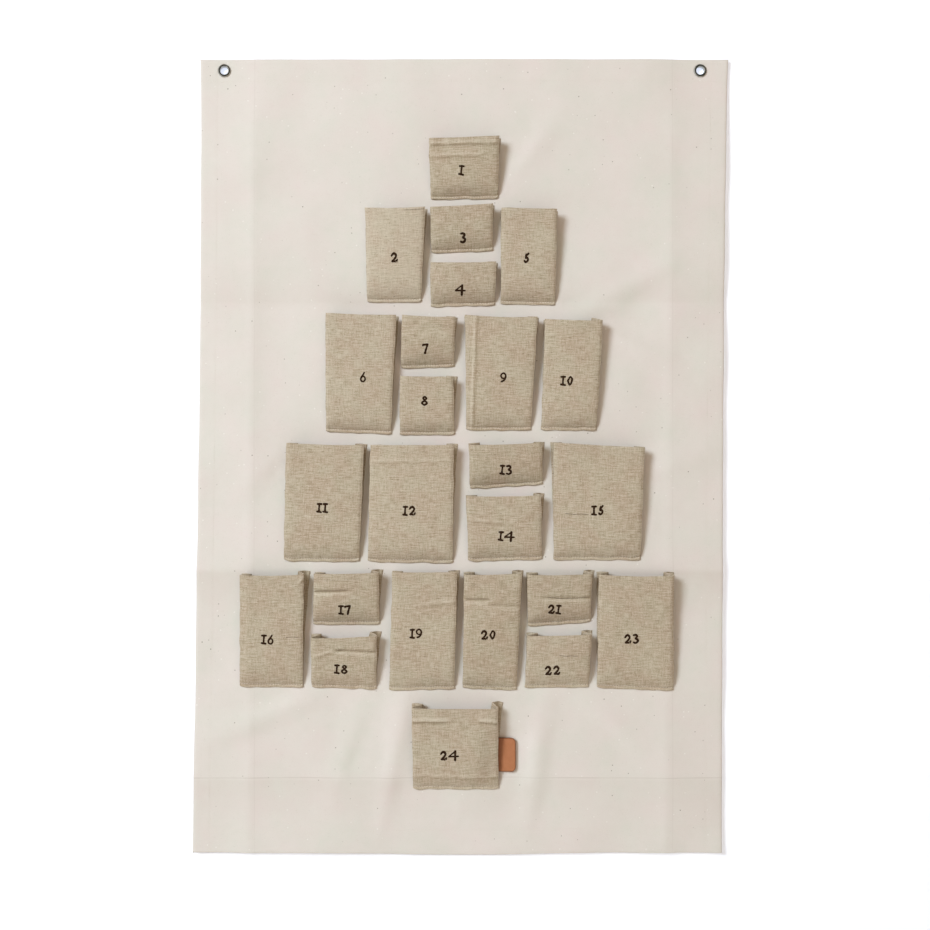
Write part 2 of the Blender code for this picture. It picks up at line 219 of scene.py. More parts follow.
room = bpy.data.worlds.new("room")
room.use_nodes = True
tree = room.node_tree
tree.nodes.clear()
ray = add(tree, "LightPath").outputs
compass = add(tree, "TexCoord").outputs["Generated"]
heading = add(tree, "SeparateXYZ", {0: compass}).outputs
across_room = add(tree, "Math", {0: heading["Y"], 1: heading["Y"]}, operation="MULTIPLY")
light = {0: across_room, 1: room_from_front, 2: room_from_sides}
strength = add(tree, "Math", light, operation="MULTIPLY_ADD")
fill = add(tree, "Background", {"Color": paint(ROOM_BOUNCE), "Strength": strength})
edges = {0: heading["X"], 1: window_shows[0], 2: window_shows[1]}
leftwards = add(tree, "MapRange", edges, interpolation_type="SMOOTHSTEP")
walls = {0: leftwards, 6: paint(MIRRORED_ROOM), 7: paint(MIRRORED_WINDOW)}
mirrored = add(tree, "Background", {"Color": add(tree, "Mix", walls, data_type="RGBA")})
white = add(tree, "Background", {"Color": (1.0, 1.0, 1.0, 1.0)})
glossy = add(tree, "MixShader", {0: ray["Is Glossy Ray"], 1: fill, 2: mirrored})
backdrop = add(tree, "MixShader", {0: ray["Is Camera Ray"], 1: glossy, 2: white})
add(tree, "OutputWorld", {"Surface": backdrop})
bpy.context.scene.world = room

# The canvas panel. One sheet of unbleached cotton canvas, cut 640 by 953 mm, with its four hems
# turned to the back and stitched. It was folded up in its pack, so faint creases cross it, with
# painted shade beside them, and husk flecks of the cotton show as small dark specks.
panel_width = 0.600
panel_height = 0.900
canvas = 0.0008
left_hem = 0.0200
right_hem = 0.0200
top_hem = 0.0265
bottom_hem = 0.0275
bottom_hem_slant = 0.0045  # how much deeper the bottom hem is at its right end, and shallower at its left
slant_fade = 0.08
eyelet_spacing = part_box("eyelet_right")[1].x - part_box("eyelet_left")[1].x
eyelet_drop = 0.0125
centre_line = 0.0024
hang_lean = 0.0082
edge_draw = 0.0030  # how far the sides are drawn in
bottom_dip = 0.0026  # how far the bottom edge hangs down
dip_fade = 0.02
DIP_HALF_WIDTH_SHARE = 0.32
DRAW_PEAK_POWER = 0.6
canvas_mesh = 0.0040
hem_edge = 0.0003
edge_round = 0.0010  # the width of the fold along the panel's edges, and how far it turns back
edge_turn = 0.0006
eyelet_hole = 0.0052
punch_sides = 48
punch_depth = 0.02  # longer than the cloth is thick, to cut right through
eyelet_calm = 0.055  # how far round an eyelet the cloth stays pulled flat
slow_wave = 0.0014
wave_length = 0.17
short_wave = 0.0046
short_wave_length = 0.060
UPRIGHT_FOLDS = ((-0.2353, 0.0021, 0.017), (0.2384, 0.0018, 0.017))  # x, height and width of each crease
CROSS_FOLDS = (  # z at the left and right edges, height and width
    (-0.2710, -0.2600, -0.0022, 0.026),
    (-0.5660, -0.5640, 0.0034, 0.030),
    (-0.8022, -0.8022, 0.0009, 0.010),
)
short_fold = (-0.0036, -0.818, -0.853)  # x, and the z it runs between
short_fold_height = 0.0010
short_fold_width = 0.005
DRAG_FOLDS = (  # slack the pockets' weight draws into the cloth: pixels of its ends, height and width
    ((313, 697), (215, 736), 0.0032, 0.013),
    ((404, 700), (383, 817), 0.0030, 0.012),
    ((362, 700), (334, 790), 0.0018, 0.012),
    ((545, 700), (528, 815), 0.0028, 0.013),
    ((588, 700), (640, 745), 0.0022, 0.014),
    ((516, 173), (562, 112), 0.0020, 0.014),
    ((572, 322), (672, 262), 0.0028, 0.014),
    ((614, 334), (676, 372), 0.0022, 0.014),
    ((352, 292), (262, 262), 0.0018, 0.016),
    ((280, 452), (232, 500), 0.0020, 0.014),
    ((652, 470), (708, 452), 0.0024, 0.016),
)
PAINTED_CREASE_LINES = (("X", -0.2353, 0.09), ("X", 0.2384, 0.11), ("Z", -0.8022, 0.30))  # thin lines of painted shadow along pressed creases: axis, place and darkness
crease_line_width = 0.0010
PAINTED_FOLD_SHADE = (  # painted shade, greyer on the side of each pack crease that its relief shades: axis, place, reach and darkness
    ("Z", -0.5655, -0.060, 0.36),
    ("Z", -0.2655, 0.045, 0.13),
    ("Z", -0.8022, -0.050, 0.22),
)
shade_start = 12  # the painted shade starts over a twelfth of its reach
drag_overrun = 0.25  # how much of its length a drag fold runs on past its ends
drag_waver = 0.55  # how much its width comes and goes
drag_waver_length = 0.034
tab_calm = 0.024  # how far round the tab the cloth lies flat
tab_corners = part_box("leather_tab")
pucker = 0.00009
pucker_length = 0.013
pucker_reach = 0.006
CANVAS_CREAM = "EAE4DB"
CANVAS_COOL = "E2E1D5"
CANVAS_ROSY = "EADFD8"
# The shade colour darkens the weave's gaps and slubs, and is also the painted shade beside pack creases.
CANVAS_SHADE = "CFC6B8"
CANVAS_CREASE_SHADOW = "A79C8B"
HUSK = "7F725E"
NEP = "F6F2EA"
patches_per_metre = 20.0
clouds_per_metre = 90.0
grains_per_metre = 700.0
canvas_pitch = 0.0006  # from one thread to the next
husk_spacing = 0.0095
husk_radius_share = 0.085
nep_spacing = 0.0120
slub_dash = (0.0045, 0.0006)
WAVE_PERIOD = 0.31416  # how often a Wave Texture of scale 1 repeats, in metres


def spaced(start, end, count):
    """Even steps from start to end, with both ends."""
    return [start + (end - start) * i / count for i in range(count + 1)]


def hung(across, down):
    """The x and z of a place on the panel, from its centre line and its top edge."""
    z = eyelet_drop - down
    return centre_line + across + hang_lean * z / panel_height, z


def canvas_spot(spot):
    """The x and z of the canvas that shows at a pixel."""
    return Vector(((spot[0] - origin_pixel[0]) * pixel, (origin_pixel[1] - spot[1]) * pixel))


def lift(x, z):
    """How far the cloth stands forward of its flat place there: slow waves, pack creases and drag folds."""
    nearest = min(math.hypot(x - side * eyelet_spacing / 2, z) for side in (-1, 1))
    free = 1.0 - math.exp(-((nearest / eyelet_calm) ** 2))
    corner, opposite = tab_corners
    from_tab = math.hypot(max(corner.x - x, x - opposite.x, 0.0), max(corner.z - z, z - opposite.z, 0.0))
    beyond = min(1.0, from_tab / tab_calm)
    free *= beyond * beyond * (3.0 - 2.0 * beyond)
    wave = slow_wave * (1.0 + noise.noise(Vector((x, 0.37, z)) / wave_length)) / 2
    wave += short_wave * (1.0 + noise.noise(Vector((x, 0.81, z)) / short_wave_length)) / 2
    for fold, rise, width in UPRIGHT_FOLDS:
        wave += rise * math.exp(-abs(x - fold - hang_lean * z) / width)
    for left, right, rise, width in CROSS_FOLDS:
        wave += rise * math.exp(-abs(z - left - (right - left) * (x / panel_width + 0.5)) / width)
    x0, high, low = short_fold
    if low < z < high:
        share = math.sin(math.pi * (z - low) / (high - low))
        wave += short_fold_height * math.exp(-abs(x - x0) / short_fold_width) * share
    for start, end, rise, width in DRAG_LINES:
        along = end - start
        from_start = Vector((x, z)) - start
        within = from_start.dot(along) / along.length_squared
        if -drag_overrun < within < 1.0 + drag_overrun:
            width *= 1.0 + drag_waver * noise.noise(Vector((x, 2.7, z)) / drag_waver_length)
            beside = (from_start - along * within).length / width
            if beside < 3.0:
                fade = math.cos(math.pi * (within - 0.5) / (1.0 + 2 * drag_overrun))
                wave += rise * math.exp(-beside * beside) * fade
    return free * wave


DRAG_LINES = [(canvas_spot(start), canvas_spot(end), rise, width) for start, end, rise, width in DRAG_FOLDS]


def hem_ripple(across, down):
    """The small puckers that the hem stitches draw into the cloth."""
    from_side = min(abs(across + panel_width / 2 - left_hem), abs(panel_width / 2 - right_hem - across))
    from_end = min(abs(down - top_hem), abs(panel_height - bottom_hem - down))
    beside = math.exp(-from_side / pucker_reach) * noise.noise(Vector((3.1, 0.0, down)) / pucker_length)
    along = math.exp(-from_end / pucker_reach) * noise.noise(Vector((across, 7.3, 0.0)) / pucker_length)
    return pucker * (1.0 + beside + along)


def hem_lines(length, near_hem, far_hem):
    """Mesh lines along one side of the panel: even ones, and close pairs at its edges and hem ends."""
    kept = [0.0, edge_round * 0.3, edge_round, length - edge_round, length - edge_round * 0.3, length]
    for end in (near_hem, length - far_hem):
        kept += [end - hem_edge, end + hem_edge]
    even = spaced(0.0, length, round(length / canvas_mesh))
    clear = [line for line in even if min(abs(line - other) for other in kept) > canvas_mesh / 4]
    return sorted(kept + clear)


def panel_place(across, down):
    """The x and z of a point of the panel, with its sides drawn in and its bottom edge dipping."""
    side = across / (panel_width / 2)
    share = min(max(down / panel_height, 0.0), 1.0)
    across -= edge_draw * math.sin(math.pi * share**DRAW_PEAK_POWER) * side * abs(side)
    from_hem = panel_height - bottom_hem - down
    window = 1.0 - from_hem / slant_fade if from_hem > 0 else 1.0 + from_hem / bottom_hem
    down -= bottom_hem_slant * side * max(0.0, window)
    x, z = hung(across, down)
    low = max(0.0, 1.0 - (panel_height - down) / dip_fade)
    reach = side / DIP_HALF_WIDTH_SHARE
    return x, z - low * bottom_dip * math.exp(-reach * reach)


def plain_weave(tree, place, pitch, waver, axes):
    """Threads both ways over one another, as a height from 0 to 1."""
    threads = {"Vector": place, "Scale": WAVE_PERIOD / pitch, "Distortion": waver, "Detail": 1.0}
    warp, weft = (add(tree, "TexWave", threads, bands_direction=axis).outputs["Fac"] for axis in axes)
    return add(tree, "Math", {0: warp, 1: weft}, operation="MULTIPLY")


def canvas_finish():
    """Unbleached cotton canvas in plain weave: matt, cream, with soft patches, husk flecks, and painted shade
    along its pack creases.
    """
    matt = {"Roughness": 0.92, "Specular IOR Level": 0.2, "Sheen Weight": 0.08, "Sheen Roughness": 0.6}
    made, tree, shader = start_finish("unbleached_cotton_canvas", matt)
    place = add(tree, "TexCoord").outputs["Object"]
    patches = add(tree, "TexNoise", {"Vector": place, "Scale": patches_per_metre, "Detail": 3.0})
    blotches = add(tree, "MapRange", {0: patches, 1: 0.26, 2: 0.74})
    base = add(tree, "Mix", {0: blotches, 6: paint(CANVAS_COOL), 7: paint(CANVAS_ROSY)}, data_type="RGBA")
    cloud = {"Vector": place, "Scale": clouds_per_metre, "Detail": 4.0, "Roughness": 0.6}
    cloudy = add(tree, "MapRange", {0: add(tree, "TexNoise", cloud), 1: 0.35, 2: 0.7, 4: 0.55})
    creamy = add(tree, "Mix", {0: cloudy, 6: base, 7: paint(CANVAS_CREAM)}, data_type="RGBA")
    weave = plain_weave(tree, place, canvas_pitch, 1.2, "XZ")
    dips = add(tree, "MapRange", {0: weave, 2: 0.5, 3: 0.18, 4: 0.0})
    woven = add(tree, "Mix", {0: dips, 6: creamy, 7: paint(CANVAS_SHADE)}, data_type="RGBA")
    speck_edge = {1: husk_radius_share * 0.6, 2: husk_radius_share, 4: 0.0}
    specks = add(tree, "TexVoronoi", {"Vector": place, "Scale": 1.0 / husk_spacing})
    fleck = add(tree, "MapRange", {0: specks, **speck_edge, 3: 1.0})
    kinds = add(tree, "SeparateColor", {0: specks.outputs["Color"]})
    strength = add(tree, "MapRange", {0: kinds, 1: 0.45, 4: 0.85})
    husks = add(tree, "Math", {0: fleck, 1: strength}, operation="MULTIPLY")
    flecked = add(tree, "Mix", {0: husks, 6: woven, 7: paint(HUSK)}, data_type="RGBA")
    tufts = add(tree, "TexVoronoi", {"Vector": place, "Scale": 1.0 / nep_spacing})
    tuft = add(tree, "MapRange", {0: tufts, **speck_edge, 3: 0.75})
    finished = add(tree, "Mix", {0: tuft, 6: flecked, 7: paint(NEP)}, data_type="RGBA")
    long, thin = slub_dash
    for scale in ((1 / long, 1.0, 1 / thin), (1 / thin, 1.0, 1 / long)):
        stretched = add(tree, "Mapping", {"Vector": place, "Scale": scale})
        slubs = add(tree, "TexNoise", {"Vector": stretched, "Scale": 1.0, "Detail": 1.0})
        dashes = add(tree, "MapRange", {0: slubs, 1: 0.66, 2: 0.78, 4: 0.45})
        finished = add(tree, "Mix", {0: dashes, 6: finished, 7: paint(CANVAS_SHADE)}, data_type="RGBA")
    axes = add(tree, "SeparateXYZ", {0: place}).outputs
    patchy = add(tree, "MapRange", {0: patches, 1: 0.35, 2: 0.6, 3: 0.35})
    # Painted shade beside the pack creases, darkest at the crease and fading over its reach.
    for axis, line, reach, darkness in PAINTED_FOLD_SHADE:
        beyond = add(tree, "Math", {0: axes[axis], 1: line}, operation="SUBTRACT")
        fold_shade = add(tree, "MapRange", {0: beyond, 2: reach, 3: darkness, 4: 0.0})
        past = add(tree, "MapRange", {0: beyond, 2: reach / shade_start})
        for limit in (past, patchy):
            fold_shade = add(tree, "Math", {0: fold_shade, 1: limit}, operation="MULTIPLY")
        finished = add(tree, "Mix", {0: fold_shade, 6: finished, 7: paint(CANVAS_SHADE)}, data_type="RGBA")
    # Painted shadow: a thin dark line along each pressed crease.
    for axis, line, darkness in PAINTED_CREASE_LINES:
        beside = add(tree, "Math", {0: axes[axis], 1: line}, operation="SUBTRACT")
        beside = add(tree, "Math", {0: beside}, operation="ABSOLUTE")
        pressed = add(tree, "MapRange", {0: beside, 2: crease_line_width, 3: darkness, 4: 0.0})
        pressed = add(tree, "Math", {0: pressed, 1: patchy}, operation="MULTIPLY")
        finished = add(tree, "Mix", {0: pressed, 6: finished, 7: paint(CANVAS_CREASE_SHADOW)}, data_type="RGBA")
    grain = add(tree, "TexNoise", {"Vector": place, "Scale": grains_per_metre})
    height = add(tree, "Math", {0: weave, 1: 0.7, 2: grain}, operation="MULTIPLY_ADD")
    bump = add(tree, "Bump", {"Height": height, "Strength": 0.35, "Distance": 0.00018})
    wire(shader, {"Base Color": finished, "Normal": bump})
    return made


def shell_faces(rows, columns):
    """Faces of a closed sheet, for a grid of the points of one side and then one of the other."""
    count = rows * columns
    faces = []
    for r in range(rows - 1):
        for c in range(columns - 1):
            a = r * columns + c
            quad = (a, a + 1, a + 1 + columns, a + columns)
            faces += [quad, tuple(count + i for i in reversed(quad))]
    rim = list(range(columns)) + [r * columns + columns - 1 for r in range(1, rows)]
    rim += [(rows - 1) * columns + c for c in range(columns - 2, -1, -1)]
    rim += [r * columns for r in range(rows - 2, 0, -1)]
    for i, a in enumerate(rim):
        b = rim[(i + 1) % len(rim)]
        faces.append((b, a, count + a, count + b))
    return faces


def build_canvas():
    """The panel as one closed sheet, double along its hems, with a hole punched for each eyelet."""
    columns = [line - panel_width / 2 for line in hem_lines(panel_width, left_hem, right_hem)]
    rows = hem_lines(panel_height, top_hem, bottom_hem)
    points, back = [], []
    for down in rows:
        for across in columns:
            hemmed = (
                down < top_hem
                or down > panel_height - bottom_hem
                or across < left_hem - panel_width / 2
                or across > panel_width / 2 - right_hem
            )
            x, z = panel_place(across, down)
            front = canvas_front - lift(x, z) + hem_ripple(across, down) - pucker
            behind = (0.0 if hemmed else -canvas) - lift(x, z)
            from_edge = min(down, panel_height - down, across + panel_width / 2, panel_width / 2 - across)
            turned = edge_turn * (1.0 - min(1.0, from_edge / edge_round)) ** 1.6
            front, behind = front + turned, behind - (edge_turn / 4 if from_edge == 0.0 else 0.0)
            points.append((x, front, z))
            back.append((x, behind, z))
    faces = shell_faces(len(rows), len(columns))
    panel = add_mesh("canvas_panel_cloth", points + back, faces, canvas_finish())
    forwards = Vector((0, 0, 1)).rotation_difference(Vector((0, 1, 0))).to_matrix()
    for side in (-1, 1):
        punch = bmesh.new()
        bmesh.ops.create_cone(
            punch,
            cap_ends=True,
            segments=punch_sides,
            radius1=eyelet_hole,
            radius2=eyelet_hole,
            depth=punch_depth,
        )
        bmesh.ops.rotate(punch, verts=punch.verts, matrix=forwards)
        bmesh.ops.translate(punch, verts=punch.verts, vec=(side * eyelet_spacing / 2, 0.0, 0.0))
        tool_mesh = bpy.data.meshes.new("punch")
        punch.to_mesh(tool_mesh)
        punch.free()
        tool = bpy.data.objects.new("punch", tool_mesh)
        bpy.context.scene.collection.objects.link(tool)
        hole = panel.modifiers.new("hole", "BOOLEAN")
        hole.operation = "DIFFERENCE"
        hole.solver = "EXACT"
        hole.object = tool
        punched = bpy.data.meshes.new_from_object(panel.evaluated_get(bpy.context.evaluated_depsgraph_get()))
        panel.modifiers.clear()
        panel.data = punched
        bpy.data.objects.remove(tool)
    panel.data.set_sharp_from_angle(angle=math.radians(70))
    return panel


panel = build_canvas()
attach(panel, "panel")
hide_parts("canvas_panel")

# The pockets. Each one is a single piece of natural linen. Its bottom is stitched to the canvas
# in a flat strip, its sides fold in behind the front as bellows, and its mouth has a hem turned
# to the inside. The cloth is limp, so no two of them hang alike.
FRONTS = {  # the pixels of each front's corners: top left, top right, bottom right, bottom left
    1: ((428.8, 138.4), (499.2, 136.1), (497.7, 199.6), (431.1, 200.4)),
    2: ((365.3, 208.0), (425.0, 207.2), (421.1, 302.2), (367.6, 302.9)),
    3: ((430.3, 207.2), (493.1, 203.9), (492.3, 251.6), (431.8, 253.9)),
    4: ((430.3, 262.4), (496.1, 261.6), (494.6, 306.0), (431.1, 307.1)),
    5: ((501.5, 208.0), (557.1, 208.8), (554.3, 305.5), (500.7, 304.4)),
    6: ((325.8, 312.9), (396.0, 314.8), (391.1, 434.4), (326.8, 432.1)),
    7: ((401.9, 314.8), (455.3, 316.8), (453.9, 367.2), (401.3, 369.2)),
    8: ((400.0, 376.1), (453.0, 376.5), (454.4, 434.8), (400.0, 435.4)),
    9: ((465.2, 314.8), (537.4, 316.8), (530.4, 430.5), (466.6, 430.9)),
    10: ((545.3, 318.8), (602.6, 320.8), (595.7, 430.9), (540.9, 430.5)),
    11: ((286.2, 442.9), (364.0, 444.9), (359.5, 561.8), (284.9, 560.6)),
    12: ((370.7, 444.9), (453.8, 444.9), (452.6, 563.1), (368.2, 561.8)),
    13: ((469.0, 444.9), (541.6, 442.6), (542.3, 484.7), (470.2, 489.2)),
    14: ((466.5, 495.9), (541.0, 495.2), (541.6, 559.3), (468.2, 561.3)),
    15: ((553.5, 442.4), (644.3, 447.4), (639.4, 559.8), (553.5, 559.8)),
    16: ((240.6, 574.4), (304.1, 573.9), (303.1, 687.3), (241.0, 686.4)),
    17: ((314.3, 573.2), (379.2, 572.2), (379.4, 624.5), (313.9, 624.5)),
    18: ((311.1, 637.7), (376.8, 635.4), (376.5, 689.1), (312.1, 687.6)),
    19: ((392.8, 571.7), (457.2, 571.7), (454.1, 689.1), (389.6, 689.8)),
    20: ((464.3, 574.3), (521.7, 572.8), (516.2, 689.9), (462.8, 688.3)),
    21: ((527.0, 574.3), (591.9, 573.4), (590.0, 621.9), (527.8, 626.2)),
    22: ((527.6, 635.7), (591.6, 634.1), (587.9, 687.2), (524.9, 687.6)),
    23: ((598.6, 574.3), (673.2, 575.1), (672.4, 690.4), (596.7, 687.6)),
    24: ((412.1, 707.5), (498.2, 708.4), (498.0, 788.7), (413.3, 789.0)),
}
EARS_MM = {  # how far the pleats' tops rise above the mouth, left and right
    1: (0.3, 1.2), 2: (0.6, 1.2), 3: (0.3, 1.4), 4: (0.3, 1.2), 5: (0.2, 0.4), 6: (0.3, 0.4),
    7: (0.3, 1.2), 8: (0.3, 1.4), 9: (0.3, 1.2), 10: (0.5, 3.6), 11: (0.3, 1.5), 12: (0.3, 1.8),
    13: (2.4, 1.2), 14: (0.6, 2.4), 15: (0.6, 1.0), 16: (0.3, 3.0), 17: (0.5, 2.6), 18: (3.2, 3.4),
    19: (0.2, 0.8), 20: (2.0, 2.6), 21: (1.6, 3.4), 22: (2.0, 3.2), 23: (2.4, 3.2), 24: (3.0, 5.8),
}
SEWN_OUT_MM = {  # how far the sewn edge stands out beside the front at the mouth, left and right
    8: (0.8, 5.4), 10: (0.6, 1.2), 12: (0.8, 4.4), 13: (0.8, 4.2), 14: (0.8, 5.0), 15: (3.0, 1.6),
    16: (0.8, 5.6), 17: (0.8, 3.8), 18: (2.0, 4.4), 19: (0.8, 2.8), 21: (0.8, 3.8), 23: (1.2, 2.0),
    24: (0.8, 6.0),
}
SEWN_OUT_ELSEWHERE_MM = (0.8, 2.2)
FOLDS = {  # creases pressed into a front: the pixels of their ends, their height, or depth, and width in mm
    1: (((433, 146), (496, 145), 0.80, 2.2), ((434, 158), (478, 157), 0.70, 2.2)),
    9: (((472, 428), (476, 319), 0.90, 1.8),),
    12: (((376, 462), (452, 461), 0.50, 1.9),),
    14: (((470, 520), (500, 523), 0.70, 2.0),),
    16: (((300, 583), (308, 574), 0.70, 1.7),),
    17: (((315, 592), (347, 591), -1.10, 2.4),),
    18: (((336, 650), (374, 652), -1.00, 2.2), ((316, 656), (340, 648), 0.60, 2.2)),
    19: (((424, 604), (456, 601), 0.60, 2.6),),
    20: (((467, 600), (487, 600), -0.90, 2.6), ((488, 605), (519, 606), -0.60, 2.2)),
    21: (((545, 598), (589, 598), -0.80, 2.2),),
    24: (
        ((413, 719), (446, 719), 1.10, 2.3), ((480, 719), (497, 721), 1.10, 2.3),
        ((414, 775), (496, 777), 0.50, 2.4),
    ),
}
linen = 0.0006
seat = 0.0004  # from the canvas to the middle of the cloth that lies on it
ply = 0.00062  # from one layer of the pressed pleat to the next
side_flange = 0.0040
pleat_depth = 0.0145
mouth_stand = 0.0173
seam_strip = 0.0032
groove_depth = 0.0003
groove_width = 0.0007
strip_bulge = 0.00032
puff = 0.0060
puff_length = 0.0085
crown = 0.0013
edge_roll = 0.0015
roll_length = 0.0022
mouth_hem = 0.0150
hem_turn = 0.0007  # how far the hem's doubling takes to start
HEM_LINES_MM = (12.0, 9.5, 10.5, 8.5, 11.5, 9.0, 13.0)
hem_line_dip = 0.00022
hem_line_width = 0.0011
hem_side_fade = 0.004
free_length = 0.012
fold_radius = 0.0003
edge_radius = 0.0008
stretch_steps = (2, 6, 2, 7, 2)  # mesh steps before each turn of the pleat
front_half_steps = 18
front_step_power = 1.35
sewn_out_power = 2.2
crease_clear = 0.002  # how far past the pleat's crease the pressed front is thinned
row_step = 0.0017
LOW_ROWS = (  # the first rows' heights, to where the even ones start
    0.0, 0.0003, 0.0009, 0.0016, 0.0023, 0.0028, 0.0032,
    0.0037, 0.0044, 0.0054, 0.0067, 0.0084, 0.0104, 0.0125,
)
MOUTH_ROWS = (0.0018, 0.0008, 0.0003)  # the last rows' distances from the mouth
MOUTH_SAGS_MM = (0.9, 0.4, 1.3, 0.6, 1.0, 0.3, 0.8)
corner_rise = 0.0013  # how far the strip's lower corners are rounded up
corner_length = 0.0030
low_reach = 0.014  # how far up from its bottom edge the strip is uneven
low_ripple = 0.0012
low_ripple_length = 0.011
side_waver = 0.0007
side_waver_length = 0.014
side_ripple_length = 0.0045
mouth_waver = 0.0005  # how uneven the mouths are
mouth_waver_length = 0.012
RUFFLES = ((0.0006, 0.030), (0.00026, 0.009))  # height and length
CROSS_RUFFLE = (0.00020, 0.035, 0.0065)  # height, and its lengths across and up
ruffle_stand = 0.006  # how far off the canvas the ruffles are full
EAR_SHARES = (0.72, 0.28)  # of its height, where it is sewn, and what the rest adds
least_ear = 0.0008  # the lowest pleat's top that still shades
rim_thickness_share = 0.35  # of the cloth's thickness, at its cut edges
PALE_POCKETS = {2: 1.3, 6: 0.35, 5: 0.25, 12: 0.2, 20: -0.4, 18: -0.2, 13: -0.3, 17: -0.2}
LINEN_BASE = "C3B79F"
LINEN_ROSY = "C0AE97"
LINEN_DARK = "9B8B70"
LINEN_LIGHT = "DBD1BD"
LINEN_HUSK = "7A6A54"
LINEN_CREASE_SHADOW = "5E5240"
fold_painted_light_and_shade = 5.0  # how much painted light lies above a pressed crease, and painted shade below it
ear_shade = 3.8  # how much painted shadow darkens the pleats in their creases at the mouth
ear_shade_length = 0.004
ear_shade_drop = 0.009
linen_patches_per_metre = 38.0
linen_pitch = 0.0009
cloth_shift = (0.311, 0.173)  # from one pocket to the next on the linen they are cut from
slub_length = 0.011
slub_thickness = 0.0012
speckle = 0.0012
linen_husk_size = (0.0032, 0.0009)


def seen(spot, offset):
    """The x and z of what shows at a pixel and stands so far off the canvas."""
    share = pixel * (1.0 - offset / camera_distance)
    x = camera_place.x + (spot[0] - image_middle) * share
    return Vector((x, camera_place.z - (spot[1] - image_middle) * share))


def bend(before, corner, after, radius, steps):
    """A rounded corner, as points from a radius before it to a radius after it."""
    start = corner + (before - corner) * min(0.5, radius / (before - corner).length)
    end = corner + (after - corner) * min(0.5, radius / (after - corner).length)
    shares = [i / steps for i in range(steps + 1)]
    return [start * (1 - k) ** 2 + corner * 2 * k * (1 - k) + end * k * k for k in shares]


def between(start, end, steps):
    """Points along a straight stretch, without its two ends."""
    return [start.lerp(end, i / steps) for i in range(1, steps)]


def front_stand(up, height):
    """How far the middle of the front's cloth stands off the canvas at its edges, up the pocket."""
    low = seat + 2 * ply
    groove = groove_depth * math.exp(-(((up - seam_strip) / groove_width) ** 2))
    if up < seam_strip:
        return low + strip_bulge * math.sin(math.pi * up / seam_strip) - groove
    past = up - seam_strip
    wedge = (mouth_stand - low - puff) * past / (height - seam_strip)
    return low + puff * (1.0 - math.exp(-past / puff_length)) + wedge - groove


def half_section(up, height, half_front, sewn_out):
    """Half a pocket's cloth at one height, from its sewn end to the middle of the front.

    Its points are (distance in from the front's edge, distance off the canvas).
    """
    share = up / height
    freed = min(1.0, max(0.0, (up - seam_strip) / free_length))
    roll = edge_roll * freed
    face = front_stand(up, height) - roll
    sewn = -sewn_out * share**sewn_out_power
    back = face - ply
    spread = (back - seat) / 2
    crease = sewn + math.sqrt(pleat_depth**2 - spread**2)
    middle = (seat + back) / 2
    end, flange = Vector((sewn, seat)), Vector((sewn + side_flange, seat))
    crease_low, crease_high = Vector((crease, middle - ply / 2)), Vector((crease, middle + ply / 2))
    edge_low, edge_high = Vector((0.0, back)), Vector((0.0, face))
    inside = Vector((half_front, face))
    turns = (
        bend(end, flange, crease_low, side_flange / 3, 2),
        bend(flange, crease_low, crease_high, fold_radius, 3),
        bend(crease_low, crease_high, edge_low, fold_radius, 3),
        bend(crease_high, edge_low, edge_high, edge_radius, 3),
        bend(edge_low, edge_high, inside, edge_radius, 3),
    )
    path = [end]
    for turn, steps in zip(turns, stretch_steps):
        path += between(path[-1], turn[0], steps) + turn
    first_front = len(path)
    start = path[-1].x
    for i in range(1, front_half_steps + 1):
        inwards = start + (half_front - start) * (i / front_half_steps) ** front_step_power
        rolled = roll * (1.0 - math.exp(-inwards / roll_length))
        side = 1.0 - inwards / half_front
        bulge = crown * (1.0 - side * side) * math.sin(math.pi * min(share, 1.0)) * freed
        pressed = min(1.0, inwards / (crease + crease_clear)) ** 3
        thin = ply * 1.2 * (1.0 - freed) * pressed
        path.append(Vector((inwards, face + rolled + bulge - thin)))
    return path, first_front


def pocket_rows(height):
    """How far up each row of a pocket's mesh is: close at its seam, its hem's end and its mouth."""
    plain = height - mouth_hem
    rows = spaced(LOW_ROWS[-1], plain - hem_turn, round((plain - hem_turn - LOW_ROWS[-1]) / row_step))
    rows += spaced(plain + hem_turn, height - MOUTH_ROWS[0], 8)
    return [*LOW_ROWS[:-1], *rows, *(height - drop for drop in MOUTH_ROWS[1:]), height]


def pressed_folds(number, x, z):
    """Each crease pressed into a front there: its height, and the place's distance above it in widths."""
    for start, end, rise, width in FOLDS.get(number, ()):
        start, end = seen(start, mouth_stand / 2), seen(end, mouth_stand / 2)
        along = (end - start).normalized()
        from_start = Vector((x, z)) - start
        within = from_start.dot(along) / (end - start).length
        if -0.2 < within < 1.2:
            fade = min(1.0, (0.7 - abs(within - 0.5)) / 0.2)
            yield rise * fade, from_start.dot(Vector((-along.y, along.x))) * 1000 / width


def wrinkle(number, x, z, up, height):
    """How far a pocket's front stands off its even form there."""
    freed = min(1.0, max(0.0, (up - seam_strip) / free_length))
    place = Vector((x, number * 1.7, z))
    ruffled = sum(rise * noise.noise(place / length) for rise, length in RUFFLES)
    rise, across, upwards = CROSS_RUFFLE
    ruffled += rise * noise.noise(Vector((x / across, number * 2.9, z / upwards)))
    for rise, beside in pressed_folds(number, x, z):
        ruffled += rise / 1000 * math.exp(-beside * beside)
    hem_line = HEM_LINES_MM[number % len(HEM_LINES_MM)] / 1000
    ruffled -= hem_line_dip * math.exp(-(((height - up - hem_line) / hem_line_width) ** 2))
    return freed * ruffled


